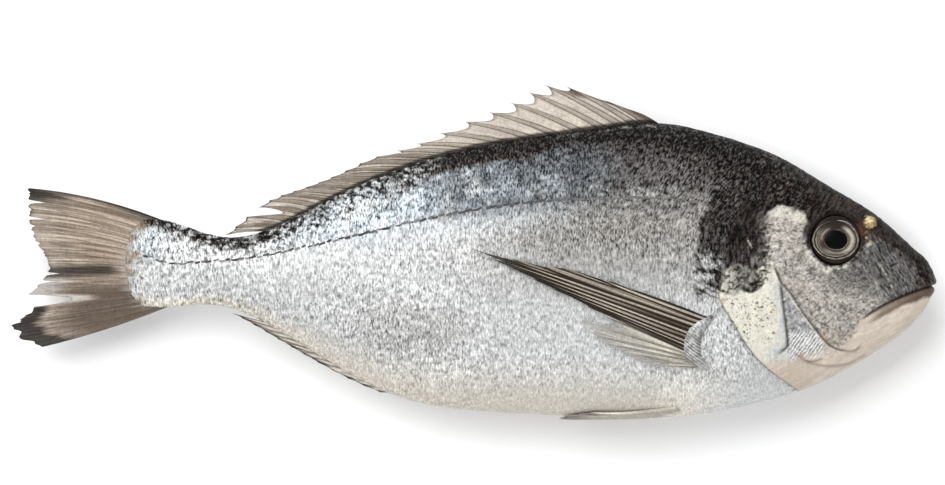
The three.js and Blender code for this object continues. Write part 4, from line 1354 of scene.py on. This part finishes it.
def pelvic_rays(side):
    """A belly fin folded flat, a little to one side of the middle."""
    t = np.linspace(0, 1, 6)
    root_z, tip_z = MID_Z + side * mix(2.5, 8.5, t), MID_Z + side * mix(1.6, 7.5, t)
    root = np.stack([mix(69, 66, t), mix(-52, -50.2, t), root_z], -1)
    bend = np.stack([52 + 0 * t, mix(-54.5, -53, t), (root_z + tip_z) / 2], -1)
    tip = np.stack([mix(28, 38, t**2), mix(-54.1, -52, t), tip_z], -1)
    return root, bend, tip


def dorsal_paint(tone):
    """Cream skin between dark spines in front, browner and streaked behind, dark at the margin."""

    def paint(s, t, share, ridge, x, y):
        rear = soft(9.0, 12.0, s)
        streaks, broad = clouds(s * 8, t * 2.2, 1.0, 91), clouds(s * 2.6, t * 1.4, 1.0, 92)
        colour = coats(
            plain(tone["web"], s),
            (tone["tail"], mix(0.4, 0.85, rear) * soft(-0.3, 0.6, streaks + 0.4 * broad)),
            (tone["ray"], mix(0.35, 0.8, rear) * soft(0.15, 0.7, -streaks)),
            (tone["ray"], mix(0.45, 0.7, rear) * soft(0.5, 0.9, ridge)),
            # Dark lines along both sides of each ray: partly the rays' own dark edges, partly painted
            # shade beside the raised rays.
            (tone["margin"], 0.85 * bell((ridge - 0.4) / 0.22)),
            (tone["lip"] * 0.7, 0.8 * soft(1.6, 0.6, s)),
            (tone["ray"] * 0.7, 0.85 * soft(3.2, 2.4, s) * soft(0.72, 0.9, share)),
            (tone["ridge"], 0.9 * soft(1.5, 0.6, y - back(x) + 0.3 * broad)),
            (tone["margin"], mix(0.5, 0.95, rear) * soft(0.94, 0.99, share)),
        )
        return colour, 1 - 0.22 * (1 - ridge) * soft(0.3, 0.5, t)

    return paint


def tail_paint(tone):
    """Tan skin with dark rays, a dark bundle in the fork, black margins and pale torn tips."""

    def paint(s, t, share, ridge, x, y):
        streaks = clouds(s * 6.5, t * 2.6, 1.0, 95)
        bundle = np.exp(-(((s - 10.4 + 0.8 * (1 - t)) / 0.85) ** 4)) * soft(0.12, 0.35, t)
        corner = soft(2.6, 0.6, s) * soft(0.66, 0.9, share + 0.12 * streaks)
        corner = np.maximum(corner, 0.8 * soft(0.4, 0.05, s))
        lobe = soft(13.9, 14.1, s) * soft(0.84, 0.92, share + 0.02 * (s - 14) + 0.03 * streaks)
        keel = soft(17.3, 17.9, s) * soft(0.6, 0.85, share)
        rim = soft(0.965, 1.0, share) * mix(0.75, 1.0, soft(13.9, 14, s))
        rim = rim * mix(1, 0.5, soft(3.6, 4.5, s) * soft(13.9, 13, s))
        dark = np.maximum(np.maximum(corner, lobe), np.maximum(keel, rim))
        pale = soft(10.9, 11.3, s) * soft(13.95, 13.8, s) * soft(0.65, 0.95, share)
        root = soft(0.2, 0.08, t + 0.1 * streaks)
        colour = coats(
            plain(tone["tail"], s),
            (tone["web"], 0.5 * soft(0.0, 0.8, streaks) + 0.2 * soft(0.5, 0.9, share)),
            (tone["tail_ray"], 0.6 * soft(0.1, 0.7, -streaks)),
            (tone["tail_ray"], 0.95 * soft(10.6, 13, s) * soft(0.9, 0.55, share)),
            (tone["tail_ray"], 0.6 * soft(0.3, 0.8, ridge)),
            (tone["margin"], 0.85 * bundle),
            (tone["margin"], 0.6 * bell((s - 8.0) / 0.1) * soft(0.2, 0.5, t)),
            (tone["ridge"], 0.8 * soft(1.5, 0.2, s) * soft(0.75, 0.2, share)),
            (tone["margin"], 0.92 * dark),
            (tone["silver"], 0.5 * pale * (1 - dark)),
            (tone["silver"], 0.3 * root * soft(1, 4, s) * soft(18, 16, s)),
        )
        return colour, 1 - 0.25 * (1 - ridge) * soft(0.5, 0.95, t) * (1 - dark)

    return paint


def pectoral_paint(tone):
    """Dark rays with paler skin between, golden near the root; the lower rays are thin and pale."""

    def paint(s, t, share, ridge, x, y):
        streaks, low = clouds(s * 7, t * 1.8, 1.0, 99), soft(8.6, 10, s)
        dusky = 0.75 * soft(-0.2, 0.4, streaks) + 0.3 * soft(0.45, 0.1, t)
        cream = soft(0.2, 0.9, np.cos(2 * np.pi * (s - 9.4) / 1.25)) * soft(8.9, 9.3, s)
        cream = cream * soft(0.08, 0.22, t) * soft(0.9, 0.5, t) * mix(1, 0.5, soft(10, 14, s))
        colour = coats(
            plain(tone["side_web"], s),
            (tone["crest"], 0.8 * low),
            (tone["ray"], dusky * mix(1, 0.55, low)),
            (tone["side_ray"], mix(1.0, 0.55, low) * soft(0.2, 0.5, ridge + 0.25 * streaks)),
            (tone["margin"], 0.8 * soft(0.5, 0.1, s) * soft(-0.6, 0.3, streaks)),
            (tone["silver"], 0.45 * low * soft(0.35, 0.9, t)),
            (tone["crest"], 0.85 * cream),
        )
        cover = 1 - (1 - soft(0.2, 0.6, ridge)) * mix(0.15, 0.75, low) * soft(0.1, 0.6, t)
        return colour, cover * mix(1, 0.7, soft(0.8, 1, share))

    return paint


def low_paint(tone, dark=0.35):
    """Whitish skin with darker rays and margin, for the fins of the underside."""

    def paint(s, t, share, ridge, x, y):
        streaks = clouds(s * 4, t * 3, 1.0, 97)
        colour = coats(
            plain(tone["belly"], s),
            (tone["silver"], 0.5 * soft(-0.2, 0.7, streaks)),
            (tone["ray"], dark * soft(0.3, 0.8, ridge + 0.4 * streaks)),
            (tone["ridge"], min(1.0, 1.6 * dark) * soft(0.7, 1.0, share + 0.2 * streaks)),
        )
        return colour, np.ones(s.shape)

    return paint


class BREAM_OT_fins(Operator):
    """All seven fins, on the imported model's rays"""

    bl_idname = "bream.fins"
    bl_label = "Fins"

    def execute(self, context):
        tone, mm = tones(), sizes()
        thin = painted("Fin skin", 1400, 0.2, 1.0, 0.00006, (0.5, 0.34), 0.1, sheer=True)
        fin(
            "fin_back", dorsal_rays(), dorsal_paint(tone), thin, mm, rows=44, steps=26,
            reach=lambda i: 0.84 if i < 11 else 0.45 if i == 20 else 0.94, split=(1.2, 1.5),
            bar=(0.95, 0.32), seed=3,
        )
        tears = {1: 0.88, 3: 0.87, 10: 0.88, 11: 0.86, 13: 0.66}
        fin(
            "fin_tail", tail_rays(), tail_paint(tone), thin, mm, rows=64, steps=14,
            reach=lambda i: tears.get(i, 0.985), split=(0.4, 0.68), bar=(0.3, 0.14),
            tatter=0.03, seed=5, thick=0.5, slit=lambda i: 0.6 if i == 13 else 16.0,
        )
        fin(
            "fin_anal", anal_rays(), low_paint(tone, 0.75), thin, mm, rows=20, steps=10,
            reach=lambda i: 0.95, split=(1.2, 1.5), bar=(0.4, 0.2), seed=7,
        )
        for name, side in SIDES.items():
            turn = SIDE_FIN_TURN[name]
            fin(
                f"fin_side_{name}", pectoral_rays(side, turn), pectoral_paint(tone), thin, mm,
                rows=64, steps=20, reach=lambda i: 0.6 if i == 9 else 0.93,
                split=(0.6, 0.9), bar=(0.42, 0.24), tatter=0.08, seed=9, up=(0, 0, side),
                thick=0.8,
            )
            fin(
                f"fin_belly_{name}", pelvic_rays(side), low_paint(tone), thin, mm, rows=40,
                steps=8, split=(0.4, 1.5), bar=(0.5, 0.3), seed=11, up=(0, -1, 0.35 * side),
            )
        self.roots(tone)
        return {"FINISHED"}

    def roots(self, tone):
        """The fleshy pad at each side fin's root: half an ellipse swept along the root's curve."""
        material = painted("Fin root skin", 1600, 0.3, 1.0, 0.0001, (0.45, 0.28), 0.4, 0.4)
        for name, side in SIDES.items():
            turn = SIDE_FIN_TURN[name]
            a = np.linspace(0, 1, 61)[:, None]
            b = np.linspace(-1, 1, 33)[None]
            curve = path([(77.5, -20.2), *PECTORAL_ROOTS[1:-1], (76, -38.2)])
            place = curve(a[:, 0])
            tangent = unit(np.gradient(place, axis=0))
            outward = np.stack([tangent[:, 1], -tangent[:, 0]], -1)
            belt = np.sin(np.pi * a) ** 0.5
            spot = place[:, None] + [1.0, 0] - outward[:, None] * (b * 3.0 * belt)[..., None]
            height = 1.9 * np.sqrt(np.clip(1 - b**2, 0, 1)) * belt
            streak = np.sin(2 * np.pi * (spot[..., 1] * 0.8 + spot[..., 0] * 0.6) / 0.85)
            streak = 0.6 * streak + 0.8 * clouds(spot[..., 0], spot[..., 1], 0.9, 62)
            height = height + 0.12 * streak * (1 - b**2) * belt
            front = laid_on_flank(spot.reshape(-1, 2), 0, side, turn).reshape(spot.shape[:2] + (3,))
            normal = flank_normal(front[..., 0], front[..., 1], side)
            points = np.stack([front + normal * (height - 0.3)[..., None], front - normal * 1.5])
            points[..., 2] = np.maximum(points[..., 2], FIN_FLOOR)
            here, before, beyond = points[0, 30, 16], points[0, 29, 16], points[0, 30, 17]
            turned = np.cross(here - before, beyond - here) @ normal[30, 16] < 0
            px, py = spot[..., 0], spot[..., 1]
            colour, _ = skin_colour(px, py, tone)
            middle = soft(1.05, 0.8, np.abs(b) + 0 * a) * belt
            cleft = soft(1.9, 0.6, np.hypot((px - 75.8) * 0.45, py + 20.9))
            colour = coats(
                colour,
                (tone["shade"] * 0.8, 0.6 * middle),
                (tone["silver"] * 1.2, 0.8 * middle * soft(0.0, 0.7, streak)),
                (tone["blotch"], 0.65 * middle * soft(0.0, 0.8, -streak)),
                (tone["blotch"], 0.85 * cleft * soft(-0.5, 0.3, streak)),
            )
            both = np.concatenate([colour.reshape(-1, 3)] * 2)
            piece = new_piece(
                f"fin_root_{name}", points, slab_faces(61, 33, turned), material, both,
                {"silver": np.full(len(both), 0.5)},
            )
            finish_piece(piece, "skin", "fish")


# ------------------------------------------------------------------ eyes


class BREAM_OT_eyes(Operator):
    """Both eyeballs: a domed front with ringed folds, and a deep back inside the socket"""

    bl_idname = "bream.eyes"
    bl_label = "Eyes"

    def execute(self, context):
        tone = tones()
        material = painted("Wet eye", 2500, 0.16, 1.0, 0.00003, (0.22, 0.12), 0.08)
        material.node_tree.nodes["Principled BSDF"].inputs["IOR"].default_value = 1.12
        for name, side in SIDES.items():
            front, rear = np.linspace(0.02, 0.995, 70), np.linspace(1.0, 0.03, 24)
            r = np.concatenate([front, rear])
            behind = np.arange(len(r)) >= len(front)
            turn = np.linspace(0, 2 * np.pi, 120, endpoint=False)
            radius = r[:, None] * EYE_RADIUS + 0 * turn
            shape = np.sqrt(np.clip(1 - r**2, 0, 1))
            rise = np.where(behind, -EYE_BACK * shape, EYE_DOME * 0.72 * shape**1.3)[:, None]
            wide = np.hypot(np.cos(turn), np.sin(turn) / 0.84)[None]
            rho = radius * wide
            relief = 0.45 * soft(4.1, 3.4, rho)
            for place, width, high in (
                (7.45, 0.3, 0.16), (6.9, 0.25, -0.18), (6.45, 0.25, 0.1), (4.0, 0.35, -0.25)
            ):
                relief = relief + high * bell((rho - place) / width)
            rise = rise + np.where(behind[:, None], 0, relief * soft(7.8, 7.2, radius))
            local = np.stack([radius * np.cos(turn), radius * np.sin(turn), rise], -1)
            out = flank_normal(*np.array(EYE), side)
            facing = unit(mix(UP * side, out, EYE_TILT))
            centre = np.array([*EYE, float(flank_z(*np.array(EYE), side))]) - facing * EYE_SINK
            east = unit(np.cross([0, 1, 0], facing))
            north = np.cross(facing, east)
            points = centre + local @ np.stack([east, north, facing])
            caps = [centre + facing * (EYE_DOME * 0.72 + 0.45), centre - facing * EYE_BACK]
            colour = self.paint(rho, turn[None] * side, behind, tone)
            piece = tube_piece(f"eyeball_{name}", points, caps, material, colour, turned=True)
            finish_piece(piece, "eye", f"eye_{name}")
        return {"FINISHED"}

    def paint(self, rho, turn, behind, tone):
        """Rings from the pupil out: bright line, brown iris, pale crescent, thin bright folds, with a
        painted highlight on the iris and a painted glint on the rim.
        """
        x, y = rho * np.cos(turn), rho * np.sin(turn)
        rough = clouds(x, y, 1.1, 33)
        wave = rho + 0.12 * rough + 0.08 * clouds(x, y, 0.6, 35)
        patchy = soft(-0.7, 0.4, clouds(x, y, 1.4, 34))

        def part(middle, spread):
            """1 at an angle in degrees, falling to 0 at the spread from it."""
            off = np.degrees(np.arccos(np.clip(np.cos(turn - np.radians(middle)), -1, 1)))
            return soft(spread, 0.45 * spread, off)

        def ring(radius, width):
            return bell((wave - radius) / width)

        colour = plain(tone["iris"], rho)
        colour = over(colour, tone["orbit"], 0.7 * part(100, 75) * soft(3.9, 4.8, rho))
        # The entry at 150 degrees is a painted highlight on the iris.
        for radius, width, middle, spread, share in (
            (5.4, 0.75, -2, 75, 0.9), (5.2, 0.5, -95, 60, 0.4), (4.7, 0.4, 150, 40, 0.45),
            (5.9, 0.3, 200, 80, 0.25),
        ):
            colour = over(colour, tone["iris_rim"], share * part(middle, spread) * ring(radius, width))
        colour = over(colour, tone["amber"] * 1.6, 0.7 * part(176, 24) * ring(5.3, 0.5))
        for radius, width, middle, spread, share in (
            (4.25, 0.22, 0, 200, 0.6), (6.1, 0.18, 200, 130, 0.75), (6.85, 0.2, 180, 260, 0.85),
            (4.75, 0.1, 300, 110, 0.4),
        ):
            colour = over(colour, tone["orbit"], share * part(middle, spread) * ring(radius, width))
        for radius, width, middle, spread, share in (
            (3.95, 0.13, -30, 150, 0.85), (6.45, 0.15, 230, 110, 0.6), (7.35, 0.17, 205, 110, 0.75),
            (7.3, 0.22, -10, 80, 0.6), (6.3, 0.12, -70, 60, 0.3),
        ):
            bright = share * part(middle, spread) * ring(radius, width) * mix(0.35, 1, patchy)
            colour = over(colour, tone["iris_rim"], bright)
        shade = soft(7.6, 7.85, rho) + 0.25 * soft(0, 0.8, rough)
        shade = np.maximum(shade, 0.55 * part(95, 60) * soft(6.6, 7.2, rho))
        colour = over(colour, tone["orbit"], shade)
        # Painted glint: a bright arc of light at the upper right of the rim.
        colour = over(colour, tone["silver"], 0.9 * part(62, 26) * ring(7.75, 0.16))
        colour = over(colour, tone["pupil"], soft(3.85, 3.65, rho))
        return np.where(behind[:, None, None], tone["orbit"], colour)


# ------------------------------------------------------------------ stage


class BREAM_OT_stage(Operator):
    """The white table, the lamps, the even light and the camera straight above"""

    bl_idname = "bream.stage"
    bl_label = "Stage"

    def execute(self, context):
        scene = context.scene
        stage = scene.bream_stage
        reach = stage.table * 1000
        corners = np.array([[-1, -1], [1, -1], [1, 1], [-1, 1]]) * reach
        low = np.concatenate([corners, np.full((4, 1), -0.05)], 1)
        table = bpy.data.materials.new("White table")
        table.use_nodes = True
        tree = table.node_tree
        board = tree.nodes["Principled BSDF"]
        board.inputs["Roughness"].default_value = 0.6
        place = node(tree, "ShaderNodeTexCoord", (-700, 0))
        mist = node(tree, "ShaderNodeTexNoise", (-500, 0), in_Scale=9.0)
        pale = node(tree, "ShaderNodeMapRange", (-300, 0))
        pale.inputs["To Min"].default_value, pale.inputs["To Max"].default_value = 0.93, 0.95
        tree.links.new(place.outputs["Object"], mist.inputs["Vector"])
        tree.links.new(mist.outputs["Fac"], pale.inputs["Value"])
        tree.links.new(pale.outputs[0], board.inputs["Base Color"])
        floor = new_piece("table", low, [np.array([[0, 1, 2, 3]])], table)
        world = bpy.data.worlds.new("Even light")
        world.use_nodes = True
        sky = world.node_tree.nodes["Background"]
        sky.inputs["Color"].default_value = (0.97, 0.985, 1.0, 1)
        sky.inputs["Strength"].default_value = stage.sky
        scene.world = world
        self.lamp("Key lamp", stage.key, 1.6, (-0.6, 0.85, 1.2))
        self.lamp("Fill lamp", stage.fill, 1.3, (0.12, -0.9, 1.2))
        data = bpy.data.cameras.new("Camera")
        data.lens, data.sensor_width = stage.lens, 36
        data.clip_end = 20
        camera = bpy.data.objects.new("Camera", data)
        camera.location = (0, stage.look_y, MID_Z / 1000 + stage.distance)
        scene.collection.objects.link(camera)
        scene.camera = camera
        scene.view_settings.view_transform = "Standard"
        scene.view_settings.look = "None"
        scene.view_settings.exposure = 0
        scene.view_settings.gamma = 1
        return {"FINISHED"}

    def lamp(self, name, power, width, place):
        """A square lamp that faces the fish."""
        data = bpy.data.lights.new(name, "AREA")
        data.energy, data.size = power, width
        lamp = bpy.data.objects.new(name, data)
        lamp.location = place
        direction = -lamp.location.normalized()
        lamp.rotation_mode = "QUATERNION"
        lamp.rotation_quaternion = direction.to_track_quat("-Z", "Y")
        lamp.visible_camera = False
        bpy.context.scene.collection.objects.link(lamp)


class BREAM_PT_panel(Panel):
    """Lists the parts and their settings"""

    bl_idname = "BREAM_PT_panel"
    bl_label = "Whole bream"
    bl_space_type = "VIEW_3D"
    bl_region_type = "UI"
    bl_category = "Bream"

    def draw(self, context):
        scene = context.scene
        for operator in OPERATORS:
            self.layout.operator(operator.bl_idname)
        for group in (scene.bream_sizes, scene.bream_colours, scene.bream_stage):
            box = self.layout.box()
            for key in type(group).__annotations__:
                box.prop(group, key)


OPERATORS = (
    BREAM_OT_stage, BREAM_OT_body, BREAM_OT_head, BREAM_OT_scales, BREAM_OT_fins, BREAM_OT_eyes,
)
SETTINGS = {"bream_sizes": BreamSizes, "bream_colours": BreamColours, "bream_stage": BreamStage}


def register():
    """Makes the settings, the operators and the panel known."""
    for kind in (*SETTINGS.values(), *OPERATORS, BREAM_PT_panel):
        bpy.utils.register_class(kind)
    for name, kind in SETTINGS.items():
        setattr(bpy.types.Scene, name, PointerProperty(type=kind))


def unregister():
    """Undoes register."""
    for name in SETTINGS:
        delattr(bpy.types.Scene, name)
    for kind in (BREAM_PT_panel, *reversed(OPERATORS), *SETTINGS.values()):
        bpy.utils.unregister_class(kind)


def main():
    """Builds everything in order."""
    register()
    bpy.ops.bream.stage()
    bpy.ops.bream.body()
    bpy.ops.bream.head()
    bpy.ops.bream.scales()
    bpy.ops.bream.fins()
    bpy.ops.bream.eyes()


if __name__ == "__main__":
    main()
